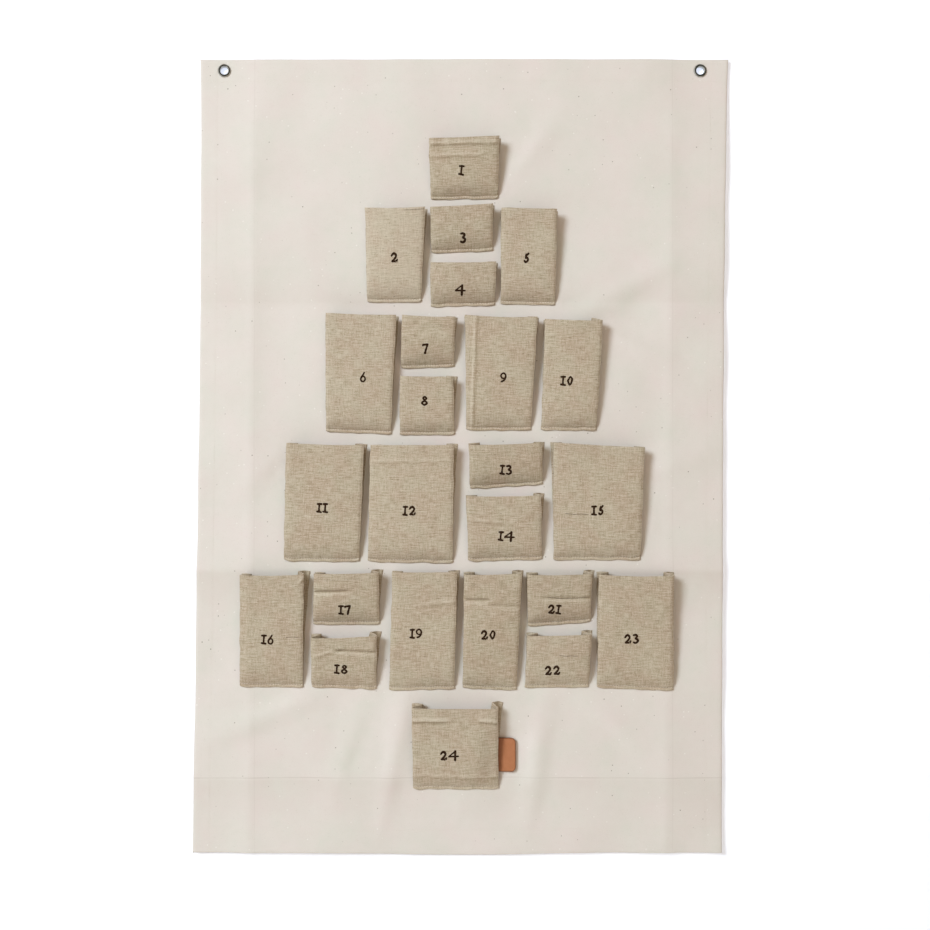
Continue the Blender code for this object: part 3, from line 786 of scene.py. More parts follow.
def linen_finish():
    """Natural linen in plain weave: matt, with slubs, the thick places of its threads, both ways."""
    matt = {"Roughness": 0.95, "Specular IOR Level": 0.15, "Sheen Weight": 0.12, "Sheen Roughness": 0.5}
    made, tree, shader = start_finish("natural_linen", matt)
    place = add(tree, "UVMap", uv_map="cloth")
    slubs = []
    for scale in ((1 / slub_length, 1 / slub_thickness, 1.0), (1 / slub_thickness, 1 / slub_length, 1.0)):
        stretched = add(tree, "Mapping", {"Vector": place, "Scale": scale})
        slub = {"Vector": stretched, "Scale": 1.0, "Detail": 3.0, "Roughness": 0.55}
        slubs.append(add(tree, "TexNoise", slub))
    fainter = add(tree, "Math", {0: slubs[1], 1: 0.65}, operation="MULTIPLY")
    both = add(tree, "Math", {0: slubs[0], 1: fainter}, operation="ADD")
    speckles = add(tree, "TexNoise", {"Vector": place, "Scale": 1 / speckle, "Detail": 1.0})
    both = add(tree, "Math", {0: speckles, 1: 0.5, 2: both}, operation="MULTIPLY_ADD")
    # This attribute holds how pale the pocket's cloth is, with painted light and shade beside its pressed
    # folds and painted shadow in its pleats' creases at the mouth.
    tone = add(tree, "Attribute", attribute_name="tone_and_painted_shade").outputs["Fac"]
    both = add(tree, "Math", {0: tone, 1: 0.1, 2: both}, operation="MULTIPLY_ADD")
    light = add(tree, "MapRange", {0: both, 1: 1.06, 2: 1.38, 4: 0.8})
    dark = add(tree, "MapRange", {0: both, 1: 1.09, 2: 0.78, 4: 0.8})
    patches = add(tree, "TexNoise", {"Vector": place, "Scale": linen_patches_per_metre})
    dyed = add(tree, "MapRange", {0: patches, 1: 0.38, 2: 0.62})
    colour = add(tree, "Mix", {0: dyed, 6: paint(LINEN_BASE), 7: paint(LINEN_ROSY)}, data_type="RGBA")
    for share, yarn in ((light, LINEN_LIGHT), (dark, LINEN_DARK)):
        colour = add(tree, "Mix", {0: share, 6: colour, 7: paint(yarn)}, data_type="RGBA")
    weave = plain_weave(tree, place, linen_pitch, 1.5, "XY")
    dips = add(tree, "MapRange", {0: weave, 2: 0.4, 3: 0.12, 4: 0.0})
    colour = add(tree, "Mix", {0: dips, 6: colour, 7: paint(LINEN_DARK)}, data_type="RGBA")
    long, thick = linen_husk_size
    stretched = add(tree, "Mapping", {"Vector": place, "Scale": (1 / long, 1 / thick, 1.0)})
    husks = add(tree, "TexNoise", {"Vector": stretched, "Scale": 1.0, "Detail": 0.0})
    husk = add(tree, "MapRange", {0: husks, 1: 0.74, 2: 0.82, 4: 0.7})
    colour = add(tree, "Mix", {0: husk, 6: colour, 7: paint(LINEN_HUSK)}, data_type="RGBA")
    # Strong painted shade turns the cloth towards its crease-shadow colour.
    shaded = add(tree, "MapRange", {0: tone, 1: -1.2, 2: -4.0, 4: 0.85})
    colour = add(tree, "Mix", {0: shaded, 6: colour, 7: paint(LINEN_CREASE_SHADOW)}, data_type="RGBA")
    height = add(tree, "Math", {0: both, 1: 0.9, 2: weave}, operation="MULTIPLY_ADD")
    bump = add(tree, "Bump", {"Height": height, "Strength": 0.4, "Distance": 0.0003})
    wire(shader, {"Base Color": colour, "Normal": bump})
    return made


def build_pocket(number, finish):
    """One pocket as a closed sheet: a grid for its outside, one for its inside, and its rim."""
    top_left, top_right, bottom_right, bottom_left = FRONTS[number]
    left_low, left_high = seen(bottom_left, seat + 2 * ply), seen(top_left, mouth_stand)
    right_low, right_high = seen(bottom_right, seat + 2 * ply), seen(top_right, mouth_stand)
    height = (left_high.y + right_high.y - left_low.y - right_low.y) / 2
    sag = MOUTH_SAGS_MM[number % len(MOUTH_SAGS_MM)] / 1000
    ears = [rise / 1000 for rise in EARS_MM[number]]
    sewn_out = SEWN_OUT_MM.get(number, SEWN_OUT_ELSEWHERE_MM)
    rows = pocket_rows(height)
    outer, inner, lengths, tones = [], [], [], []
    tone = PALE_POCKETS.get(number, 0.3 * noise.noise(Vector((number * 1.37, 0.5, 0.0))))
    for r, up in enumerate(rows):
        share = up / height
        left, right = left_low.lerp(left_high, share), right_low.lerp(right_high, share)
        for end, seed in ((left, 0.3), (right, 5.1)):
            end.x += side_waver * noise.noise(Vector((number * 3.1, seed, up / side_waver_length)))
            end.x += side_waver / 3 * noise.noise(Vector((number * 4.7, seed, up / side_ripple_length)))
        half_front = (right.x - left.x) / 2
        halves = [half_section(up, height, half_front, out / 1000) for out in sewn_out]
        first_front = halves[0][1]
        rim_row = r in (0, len(rows) - 1)
        doubled = linen * min(1.0, max(0.0, (up - height + mouth_hem) / hem_turn))
        face = front_stand(up, height)
        low = max(0.0, 1.0 - up / low_reach)
        path = []
        for side, steps in ((0, halves[0][0]), (1, halves[1][0][-2::-1])):
            reach = max(place.x for place in halves[side][0][:first_front])
            for place in steps:
                in_front = place.x / (2 * half_front)
                x = left.x + place.x if side == 0 else right.x - place.x
                across = in_front if side == 0 else 1.0 - in_front
                # How near the pleat's crease a point is, for the painted shadow there.
                crease_shadow_mask = math.exp(min(0.0, place.x - reach) / ear_shade_length)
                path.append((x, place.y, across, ears[side], crease_shadow_mask))
        flat = 0.0
        start = len(outer)
        last = len(path) - 1
        for i, (x, offset, across, ear, crease_shadow_mask) in enumerate(path):
            on_front = first_front <= i <= last - first_front
            before, after = path[max(i - 1, 0)], path[min(i + 1, last)]
            along = Vector((after[0] - before[0], after[1] - before[1])).normalized()
            outwards = Vector((-along.y, along.x))
            if i:
                flat += math.hypot(x - before[0], offset - before[1])
            inwards = max(0.0, min(across, 1.0 - across)) * 2 * half_front
            z = left.y + (right.y - left.y) * across
            if on_front:
                z -= sag * share**3 * (1.0 - (2 * across - 1.0) ** 2)
            else:
                tip = min(1.0, max(0.0, 1.0 - offset / face) * 2.0)
                outer_end = min(1.0, min(i, last - i) / 5)
                z += ear * share * tip * (EAR_SHARES[0] + EAR_SHARES[1] * outer_end)
            z += low * corner_rise * math.exp(-inwards / corner_length)
            z += low * low_ripple * noise.noise(Vector((x / low_ripple_length, number * 1.3, 0.0)))
            if share > 0.5:
                uneven = noise.noise(Vector((x, number * 2.3, 0.0)) / mouth_waver_length)
                z += mouth_waver * (share - 0.5) * uneven
            depth = offset + (lift(x, z) if offset < face * 2 else 0.0)
            ruffle = wrinkle(number, x, z, up, height) * min(1.0, offset / ruffle_stand)
            thin = rim_thickness_share if rim_row or i in (0, last) else 1.0
            hem = doubled * min(1.0, inwards / hem_side_fade) if on_front else 0.0
            for grid, half_cloth in ((outer, linen / 2 * thin), (inner, -(linen / 2 + hem) * thin)):
                place = Vector((x, depth + ruffle)) + outwards * half_cloth
                grid.append((place.x, canvas_front - place.y, z))
            lengths.append((flat, up))
            if on_front:
                # Painted light above each pressed crease and painted shade below it.
                folds = pressed_folds(number, x, z)
                marks = sum(rise * beside * math.exp(-beside * beside) for rise, beside in folds)
                tones.append(tone + fold_painted_light_and_shade * marks)
            else:
                # Painted shadow in the pleats' creases just below the mouth.
                below = min(1.0, (height - up) / max(ear, least_ear))
                near_mouth = below * max(0.0, 1.0 - (height - up) / ear_shade_drop)
                tones.append(tone - ear_shade * crease_shadow_mask * near_mouth)
        middle = lengths[start + len(path) // 2][0]
        lengths[start:] = [(u - middle, v) for u, v in lengths[start:]]
    wide = len(path)
    faces = shell_faces(len(rows), wide)
    made = add_mesh(f"pocket_{number:02d}_linen", outer + inner, faces, finish)
    cloth = made.data.uv_layers.new(name="cloth")
    for loop in made.data.loops:
        u, v = lengths[loop.vertex_index % len(outer)]
        cloth.data[loop.index].uv = (u + cloth_shift[0] * number, v + cloth_shift[1] * number)
    # Each pocket's own tone, with its painted light and shade, for the linen's finish.
    tone_and_painted_shade = made.data.attributes.new("tone_and_painted_shade", "FLOAT", "POINT")
    tone_and_painted_shade.data.foreach_set("value", tones * 2)
    flat_size = (lengths[wide * (len(rows) // 2) + wide - 1][0] * 2, height + mouth_hem)
    return made, flat_size


def hang_pocket(piece, stands_for=()):
    """Bakes a pocket piece's place into its mesh, and hides the parts that it stands for."""
    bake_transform(piece)
    if stands_for:
        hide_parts(*stands_for)


linen_cloth = linen_finish()
pockets = {}
for number in FRONTS:
    pocket, flat_size = build_pocket(number, linen_cloth)
    pockets[number] = pocket
    hang_pocket(pocket, (f"pocket_{number:02d}_front", f"pocket_{number:02d}_gusset"))

# The eyelets and washers. Each eyelet is drawn from thin brass sheet, nickel plated and polished,
# and hammered through the top hem: its barrel's end is rolled over a cupped washer at the back.
EYELET_SIDES = {"left": -1, "right": 1}
bore_radius = 0.0044
flange_radius = 0.0074
metal_sheet = 0.0005
dome_height = 0.0013
roll_out = 0.0007
washer_radius = 0.0070
washer_metal = 0.0006
washer_cup = 0.0004
air = 0.0003
turning_steps = 72
tarnish_per_metre = 260.0
marks_per_metre = 1500.0
NICKEL = "C6C5BF"
NICKEL_DULL = "A9A79E"


def nickel_finish(name, roughness):
    """Polished nickel plate: mirror-like and slightly warm, with faint handling marks."""
    made, tree, shader = start_finish(name, {"Metallic": 1.0})
    place = add(tree, "TexCoord").outputs["Object"]
    tarnish = add(tree, "TexNoise", {"Vector": place, "Scale": tarnish_per_metre, "Detail": 3.0})
    colour = add(tree, "Mix", {0: tarnish, 6: paint(NICKEL), 7: paint(NICKEL_DULL)}, data_type="RGBA")
    dull = add(tree, "MapRange", {0: tarnish, 1: 0.3, 2: 0.7, 3: roughness, 4: roughness + 0.12})
    marks = add(tree, "TexNoise", {"Vector": place, "Scale": marks_per_metre})
    bump = add(tree, "Bump", {"Height": marks, "Strength": 0.06, "Distance": 0.0001})
    wire(shader, {"Base Color": colour, "Roughness": dull, "Normal": bump})
    return made


def turn_ring(name, profile, middle_x, finish):
    """A closed outline of (radius, y) points turned about an eyelet's axis."""
    points, faces = [], []
    around = len(profile)
    for step in range(turning_steps):
        angle = 2 * math.pi * step / turning_steps
        across, up = math.cos(angle), math.sin(angle)
        points += [(middle_x + radius * across, y, radius * up) for radius, y in profile]
        after = (step + 1) % turning_steps * around
        for i in range(around):
            j = (i + 1) % around
            faces.append((step * around + i, step * around + j, after + j, after + i))
    made = add_mesh(name, points, faces, finish)
    made.data.set_sharp_from_angle(angle=math.radians(50))
    return made


def eyelet_profile():
    """A cut through an eyelet: its dome, its bore and its rolled end, as (radius, y)."""
    middle, reach = (flange_radius + bore_radius) / 2, (flange_radius - bore_radius) / 2
    base = canvas_front - air
    profile = []
    for turn in spaced(0.0, math.pi, 20):
        dome = base - metal_sheet / 2 - dome_height * math.sin(turn)
        profile.append((middle + reach * math.cos(turn), dome))
    start = air * 2 + washer_cup + washer_metal
    barrel = bore_radius + metal_sheet
    profile.append((bore_radius, start + metal_sheet))
    for turn in reversed(spaced(0.0, math.pi, 8)[1:-1]):
        profile.append((barrel + roll_out * math.sin(turn), start + metal_sheet * (1.0 - math.cos(turn)) / 2))
    return profile + [(barrel, start), (barrel, base), (flange_radius, base)]


def washer_profile():
    """A cut through a washer, cupped towards the cloth, as (radius, y)."""
    hole, back = bore_radius + metal_sheet + air, air + washer_cup
    profile = [(hole, back), (hole, back + washer_metal)]
    for share in spaced(0.0, 1.0, 6)[1:]:
        radius = hole + (washer_radius - hole) * share
        profile.append((radius, back + washer_metal - washer_cup * share**3))
    for share in spaced(1.0, 0.0, 6)[:-1]:
        profile.append((hole + (washer_radius - hole) * share, back - washer_cup * share**3))
    return profile


polished = nickel_finish("polished_nickel_plate", 0.14)
duller = nickel_finish("barrelled_nickel_plate", 0.28)
for side, way in EYELET_SIDES.items():
    rings = (("eyelet", eyelet_profile(), polished), ("washer", washer_profile(), duller))
    for kind, profile, finish in rings:
        ring = turn_ring(f"{kind}_{side}_turned", profile, way * eyelet_spacing / 2, finish)
        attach(ring, "panel")
        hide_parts(f"{kind}_{side}")

# The stitches. Undyed cotton thread, two threads thick, in straight machine stitches. It holds the
# hems of the panel and of the mouths, each pocket's bottom strip, and a few pocket edges.
stitch_pitch = 0.0029
hem_stitch_pitch = 0.0030
stitch_share = 0.66  # how much of the pitch shows as thread
thread = 0.00050
hem_thread = 0.00026
stitch_sink = 0.00008
hem_inset = 0.0015  # from a hem's edge to its seam
seam_end = 0.001
strip_inset_px = 1.2
twist_slant = math.radians(35)
thread_end_thickness = 0.0011
yarn_thickness = 0.0009
yarn_pitch_share = 1.5
search_from = 0.1  # how far off the wall a surface is looked for
THREAD_PALE = "F0EBE2"
THREAD_CREAM = "D9D0C0"
THREAD_SHADE = "B3A68E"
EDGE_SEAMS = {  # pixels that the stitches along a pocket's edge run between
    6: (((328.6, 330.0), (328.8, 424.0)),),
    9: (((468.4, 322.0), (469.4, 424.0)),),
    10: (((543.6, 372.0), (543.4, 427.0)),),
    15: (((556.9, 452.0), (555.8, 554.0)),),
    17: (((377.2, 578.0), (377.2, 620.0)),),
    18: (((374.4, 642.0), (374.2, 684.0)),),
    23: (((670.2, 582.0), (669.6, 685.0)),),
}
STRAYS = {  # loose thread ends, thick dark yarns and thin dark lines that lie on the pockets, one of them painted shadow along a crease: their pixels
    "pocket_18_thread_end": (18, ((304.6, 661.4), (307.5, 663.6), (311.0, 665.0), (313.6, 667.0))),
    "pocket_16_dark_yarn": (16, ((286.5, 637.6), (292.0, 637.0), (298.0, 637.4), (303.0, 636.8))),
    # A thin dark line drawn along pocket 2's mouth.
    "pocket_02_dark_yarn": (2, ((405.0, 210.0), (412.0, 209.6), (418.0, 209.4), (423.0, 208.8))),
    "pocket_15_dark_yarn": (15, ((566.0, 513.6), (574.0, 514.4), (582.0, 514.0), (588.0, 514.6))),
    "pocket_21_dark_yarn": (21, ((548.0, 597.4), (562.0, 598.6), (576.0, 598.2), (588.0, 597.0))),
    "pocket_22_dark_yarn": (22, ((560.0, 655.4), (566.0, 656.4), (571.0, 655.8), (577.0, 656.2))),
}
YARN_AND_SHADOW_DARK = "6E604B"
YARN_AND_SHADOW_DEEP = "54483A"


def thread_finish(name, pale, deep):
    """Spun cotton thread or linen yarn: matt, with the fine slant of its twist."""
    made, tree, shader = start_finish(name, {"Roughness": 0.85, "Sheen Weight": 0.1})
    place = add(tree, "TexCoord").outputs["Object"]
    slanted = add(tree, "Mapping", {"Vector": place, "Rotation": (0.0, twist_slant, 0.0)})
    ridges = {"Vector": slanted, "Scale": WAVE_PERIOD / thread}
    twist = add(tree, "TexWave", ridges, bands_direction="X").outputs["Fac"]
    colour = add(tree, "Mix", {0: twist, 6: paint(deep), 7: paint(pale)}, data_type="RGBA")
    bump = add(tree, "Bump", {"Height": twist, "Strength": 0.4, "Distance": 0.0001})
    wire(shader, {"Base Color": colour, "Normal": bump})
    return made


def sewing_tree(finish):
    """Geometry Nodes that lay one stitch after another along the paths in a mesh."""
    tree = bpy.data.node_groups.new("sewing", "GeometryNodeTree")
    tree.interface.new_socket("Paths", in_out="INPUT", socket_type="NodeSocketGeometry")
    for name in ("Pitch", "Stitch Length", "Thread"):
        tree.interface.new_socket(name, in_out="INPUT", socket_type="NodeSocketFloat")
    tree.interface.new_socket("Stitches", in_out="OUTPUT", socket_type="NodeSocketGeometry")
    given = add(tree, "NodeGroupInput").outputs
    curves = add(tree, "GeometryNodeMeshToCurve", {0: given["Paths"]})
    steps = {"Curve": curves, "Length": given["Pitch"]}
    evenly = add(tree, "GeometryNodeResampleCurve", steps, mode="LENGTH")
    half_thread = add(tree, "Math", {0: given["Thread"], 1: 0.5}, operation="MULTIPLY")
    half_length = add(tree, "Math", {0: given["Stitch Length"], 1: 0.5}, operation="MULTIPLY")
    scale = add(tree, "CombineXYZ", {0: half_thread, 1: half_thread, 2: half_length})
    along = add(tree, "GeometryNodeInputTangent")
    turned = add(tree, "FunctionNodeAlignRotationToVector", {"Vector": along}, axis="Z")
    stitch = add(tree, "GeometryNodeMeshUVSphere", {"Segments": 6, "Rings": 5, "Radius": 1.0})
    stitches = {"Points": evenly, "Instance": stitch, "Rotation": turned, "Scale": scale}
    laid = add(tree, "GeometryNodeInstanceOnPoints", stitches)
    real = add(tree, "GeometryNodeRealizeInstances", {0: laid})
    smooth = add(tree, "GeometryNodeSetShadeSmooth", {0: real})
    coloured = add(tree, "GeometryNodeSetMaterial", {"Geometry": smooth, "Material": finish})
    add(tree, "NodeGroupOutput", {0: coloured})
    return tree


def sew(name, paths, tree, pitch, thickness):
    """A plain mesh of the stitches along the paths."""
    points, edges = [], []
    for path in paths:
        edges += [(len(points) + i, len(points) + i + 1) for i in range(len(path) - 1)]
        points += path
    mesh = bpy.data.meshes.new(name)
    mesh.from_pydata(points, edges, [])
    made = bpy.data.objects.new(name, mesh)
    bpy.context.scene.collection.objects.link(made)
    sewing = made.modifiers.new("sewing", "NODES")
    sewing.node_group = tree
    sizes = {"Pitch": pitch, "Stitch Length": pitch * stitch_share, "Thread": thickness}
    for socket in tree.interface.items_tree:
        if socket.name in sizes:
            sewing[socket.identifier] = sizes[socket.name]
    plain = bpy.data.meshes.new_from_object(made.evaluated_get(bpy.context.evaluated_depsgraph_get()))
    made.modifiers.clear()
    made.data = plain
    plain.name = name
    return made


def surface(piece):
    """A search tree of a piece's faces, to lay other things on."""
    return bvhtree.BVHTree.FromPolygons(
        [v.co for v in piece.data.vertices], [tuple(p.vertices) for p in piece.data.polygons]
    )


def laid_on(tree, x, z, from_front=True):
    """The point of a surface that faces the viewer, or the wall, at x and z."""
    way = 1.0 if from_front else -1.0
    hit = tree.ray_cast(Vector((x, -search_from * way, z)), Vector((0.0, way, 0.0)))[0]
    return hit and hit + Vector((0.0, -stitch_sink * way, 0.0))


def shown_at(tree, spot):
    """The point of a surface that shows at a pixel."""
    far = seen(spot, 0.0)
    hit = tree.ray_cast(camera_place, Vector((far.x, canvas_front, far.y)) - camera_place)[0]
    return hit and hit + Vector((0.0, -stitch_sink, 0.0))


def hem_seams():
    """The four hem seams' places on the panel, across and down from its centre line and top edge."""
    left, right = left_hem - hem_inset - panel_width / 2, panel_width / 2 - right_hem + hem_inset
    top, bottom = top_hem - hem_inset, panel_height - bottom_hem + hem_inset
    ends = panel_width / 2 - seam_end
    return (
        [(x, top) for x in spaced(-ends, ends, 200)],
        [(x, bottom) for x in spaced(-ends, ends, 200)],
        [(left, down) for down in spaced(seam_end, panel_height - seam_end, 300)],
        [(right, down) for down in spaced(seam_end, panel_height - seam_end, 300)],
    )


sewing = sewing_tree(thread_finish("undyed_cotton_thread", THREAD_CREAM, THREAD_SHADE))
pale_sewing = sewing_tree(thread_finish("bleached_cotton_thread", THREAD_PALE, THREAD_CREAM))
canvas_surface = surface(panel)
seam_paths = []
for line in hem_seams():
    for from_front in (True, False):
        laid = [laid_on(canvas_surface, *panel_place(across, down), from_front) for across, down in line]
        seam_paths.append([place for place in laid if place])
hem_stitches = sew("canvas_panel_stitches", seam_paths, pale_sewing, hem_stitch_pitch, hem_thread)
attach(hem_stitches, "panel")

fronts = {number: surface(pocket) for number, pocket in pockets.items()}
for number, front in fronts.items():
    top_left, top_right, bottom_right, bottom_left = FRONTS[number]
    tall = (bottom_left[1] + bottom_right[1] - top_left[1] - top_right[1]) / 2
    strip_share = seam_strip / (tall * pixel)
    hem_share = 1.0 - HEM_LINES_MM[number % len(HEM_LINES_MM)] / 1000 / (tall * pixel)
    seams = []
    for share in (strip_share, hem_share):
        left = Vector(bottom_left).lerp(Vector(top_left), share) + Vector((strip_inset_px, 0.0))
        right = Vector(bottom_right).lerp(Vector(top_right), share) - Vector((strip_inset_px, 0.0))
        seams.append((left, right))
    seams += EDGE_SEAMS.get(number, ())
    laid = []
    for start, end in seams:
        steps = max(8, int((Vector(end) - Vector(start)).length / 2))
        path = [shown_at(front, Vector(start).lerp(Vector(end), share)) for share in spaced(0.0, 1.0, steps)]
        laid.append([place for place in path if place])
    for name, paths, tree, thickness in (
        ("bottom_stitches", laid[:1], pale_sewing, thread),
        ("hem_stitches", laid[1:], sewing, hem_thread),
    ):
        stitches = sew(f"pocket_{number:02d}_{name}", paths, tree, stitch_pitch, thickness)
        hang_pocket(stitches)

# The same dark yarn also draws a line of painted shadow along pocket 21's crease.
dark_yarn_and_shadow_line = sewing_tree(thread_finish("dark_linen_yarn_and_shadow_line", YARN_AND_SHADOW_DARK, YARN_AND_SHADOW_DEEP))
for name, (number, spots) in STRAYS.items():
    path = [shown_at(fronts[number], spot) or shown_at(canvas_surface, spot) for spot in spots]
    is_thread = name.endswith("end")
    tree, thickness = (pale_sewing, thread_end_thickness) if is_thread else (dark_yarn_and_shadow_line, yarn_thickness)
    stray = sew(name, [path], tree, thickness * yarn_pitch_share, thickness)
    hang_pocket(stray)

# The numerals. Each number is stamped by hand on its pocket's front in dark brown textile ink,
# with old-fashioned serif figures that came out a little uneven.
figure_height = 0.0109
ink_above = 0.00013
ink_below = 0.00022
figure_gap = 0.14
hand_turn = math.radians(3)
ink_unevenness = 0.12
stroke_weight = 1.40
stroke_end_share = 0.48
ink_grains_per_metre = 900.0
INK_BROWN = "2E1D11"
INK_WORN = "503B28"
NUMBER_SPOTS = {
    1: (461.4, 170.2), 2: (394.3, 257.5), 3: (462.9, 237.6), 4: (460.2, 289.6), 5: (526.4, 257.8),
    6: (362.8, 377.1), 7: (425.3, 348.4), 8: (424.3, 400.8), 9: (503.4, 377.5), 10: (567.0, 380.7),
    11: (322.2, 507.9), 12: (409.3, 510.8), 13: (505.8, 469.8), 14: (506.3, 536.2), 15: (597.8, 510.3),
    16: (267.4, 639.5), 17: (344.7, 609.9), 18: (341.0, 669.3), 19: (416.0, 633.6), 20: (488.3, 634.9),
    21: (554.4, 609.4), 22: (552.5, 670.5), 23: (631.4, 638.9), 24: (449.2, 755.7),
}
HALF_WIDTHS = {  # of each figure, as a share of its height
    "0": 0.33, "1": 0.24, "2": 0.36, "3": 0.30, "4": 0.50,
    "5": 0.32, "6": 0.30, "7": 0.32, "8": 0.36, "9": 0.32,
}
FIGURE_STROKES = {  # strokes as (x, y, width), in hundredths of the figures' height
    "0": [[(5, 88, 13), (20, 74, 15), (20, 50, 15), (10, 22, 14), (-5, 7, 13), (-16, 30, 15), (-22, 50, 15),
          (-13, 65, 13), (-3, 83, 13), (5, 88, 13)]],
    "1": [[(4, 93, 16), (-1, 50, 13), (-2, 10, 16)], [(-18, 90, 15), (22, 90, 15)], [(-22, 12, 15),
          (20, 5, 15)]],
    "2": [[(-27, 69, 14), (-13, 86, 17), (2, 90, 19), (17, 76, 17), (17, 60, 15), (6, 42, 15),
          (-10, 25, 15), (-23, 13, 15)], [(-23, 12, 15), (0, 12, 15), (17, 10, 17), (29, 28, 12)]],
    "3": [[(-20, 87, 15), (5, 90, 17), (16, 72, 16), (-2, 52, 13), (20, 40, 17), (20, 20, 18), (0, 6, 15),
          (-20, 12, 15)]],
    "4": [[(20, 95, 11), (-46, 42, 11)], [(-46, 40, 13), (50, 42, 13)], [(20, 95, 17), (17, 2, 17)]],
    "5": [[(22, 93, 15), (10, 78, 13)], [(0, 80, 14), (12, 80, 14)], [(0, 84, 17), (-4, 50, 19)],
          [(-6, 48, 15), (10, 50, 17), (16, 30, 15), (5, 12, 15), (-10, 8, 17), (-20, 20, 16)]],
    "6": [[(16, 95, 12), (2, 72, 13), (-14, 50, 14), (-22, 28, 14), (-12, 8, 13), (8, 6, 12), (22, 24, 13),
          (20, 46, 12), (6, 58, 10), (-12, 46, 9)]],
    "7": [[(-25, 85, 16), (25, 92, 16)], [(24, 90, 14), (8, 45, 15), (-2, 4, 18)], [(-25, 87, 10),
          (-27, 75, 10)]],
    "8": [[(4, 91, 14), (21, 76, 15), (4, 61, 14), (-13, 76, 15), (4, 91, 14)], [(2, 48, 14), (27, 28, 16),
          (2, 8, 14), (-23, 28, 16), (2, 48, 14)]],
    "9": [[(-20, 9, 14), (6, 22, 14), (22, 50, 14), (21, 78, 13), (2, 94, 13), (-20, 82, 12), (-25, 62, 12),
          (-12, 44, 12), (8, 42, 10), (18, 50, 8)]],
}
stroke_steps = 5


def ink_finish():
    """Dark brown textile ink, soaked into the linen: matt, and thin where the cloth is coarse."""
    made, tree, shader = start_finish("brown_textile_ink", {"Roughness": 0.8, "Specular IOR Level": 0.2})
    place = add(tree, "TexCoord").outputs["Object"]
    worn = add(tree, "TexNoise", {"Vector": place, "Scale": ink_grains_per_metre})
    thin = add(tree, "MapRange", {0: worn, 1: 0.5, 2: 0.75, 4: 0.8})
    colour = add(tree, "Mix", {0: thin, 6: paint(INK_BROWN), 7: paint(INK_WORN)}, data_type="RGBA")
    bump = add(tree, "Bump", {"Height": worn, "Strength": 0.5, "Distance": 0.0001})
    wire(shader, {"Base Color": colour, "Normal": bump})
    return made


def smooth_step(p, q, r, s, t):
    """A place between q and r on a smooth curve through four numbers."""
    return 0.5 * (2 * q + (r - p) * t + (2 * p - 5 * q + 4 * r - s) * t * t + (3 * q - p - 3 * r + s) * t**3)


def through(knots):
    """A smooth run of (x, y, width) points through a stroke's knots."""
    ends = [knots[0], *knots, knots[-1]]
    if len(knots) > 2 and knots[0] == knots[-1]:
        ends = [knots[-2], *knots, knots[1]]
    run = []
    for four in zip(ends, ends[1:], ends[2:], ends[3:]):
        for step in range(stroke_steps):
            run.append(tuple(smooth_step(*numbers, step / stroke_steps) for numbers in zip(*four)))
    return run + [knots[-1]]


def stroke_faces(knots, luck):
    """The outline of a stroke as short four-sided faces, with its ends rounded off."""
    run = [Vector(place) for place in through([tuple(share / 100 for share in knot) for knot in knots])]
    for place in run:
        place.z *= stroke_weight * (1.0 + luck.uniform(-ink_unevenness, ink_unevenness))
    faces = []
    for before, a, b, after in zip([run[0], *run], run, run[1:], [*run[2:], run[-1]]):
        across = []
        for low, high in ((before, b), (a, after)):
            along = (high - low).to_2d().normalized()
            across.append(Vector((-along.y, along.x)))
        corners = [a.to_2d() - across[0] * a.z / 2, b.to_2d() - across[1] * b.z / 2]
        corners += [b.to_2d() + across[1] * b.z / 2, a.to_2d() + across[0] * a.z / 2]
        faces.append(corners)
    turns = [2 * math.pi * i / 8 for i in range(8)]
    for end in (run[0], run[-1]):
        ways = [Vector((math.cos(t), math.sin(t))) for t in turns]
        faces.append([end.to_2d() + way * end.z * stroke_end_share for way in ways])
    return faces


def stamp(number, front, finish):
    """A number as thin closed plates of ink on its pocket's front."""
    luck = random.Random(number)
    figures = str(number)
    places = [0.0]
    for a, b in zip(figures, figures[1:]):
        places.append(places[-1] + HALF_WIDTHS[a] + HALF_WIDTHS[b] + figure_gap)
    middle = (places[0] - HALF_WIDTHS[figures[0]] + places[-1] + HALF_WIDTHS[figures[-1]]) / 2
    spot = shown_at(front, NUMBER_SPOTS[number])
    turn = luck.uniform(-hand_turn, hand_turn)
    points, faces = [], []
    for figure, shift in zip(figures, places):
        corners, rings = [], []
        for knots in FIGURE_STROKES[figure]:
            for ring in stroke_faces(knots, luck):
                rings.append(list(range(len(corners), len(corners) + len(ring))))
                corners += ring
        flat = geometry.delaunay_2d_cdt(corners, [], rings, 1, 1e-5)
        start, count = len(points), len(flat[0])
        for depth in (-ink_above, ink_below):
            for corner in flat[0]:
                x, y = corner.x + shift - middle, corner.y - 0.5
                x, y = x * math.cos(turn) - y * math.sin(turn), x * math.sin(turn) + y * math.cos(turn)
                at = Vector((spot.x + x * figure_height, spot.z + y * figure_height))
                hit = front.ray_cast(Vector((at.x, -search_from, at.y)), Vector((0.0, 1.0, 0.0)))[0]
                points.append((at.x, hit.y + depth, at.y))
        used = {}
        for face in (face for face, origins in zip(flat[2], flat[5]) if origins):
            faces.append(tuple(start + i for i in face))
            faces.append(tuple(start + count + i for i in reversed(face)))
            for a, b in zip(face, [*face[1:], face[0]]):
                used[a, b] = True
        for a, b in used:
            if (b, a) not in used:
                faces.append((start + b, start + a, start + count + a, start + count + b))
    made = add_mesh(f"pocket_{number:02d}_number", points, faces, finish)
    made.data.set_sharp_from_angle(angle=math.radians(40))
    return made


ink = ink_finish()
for number, front in fronts.items():
    printed = stamp(number, front, ink)
    hang_pocket(printed)

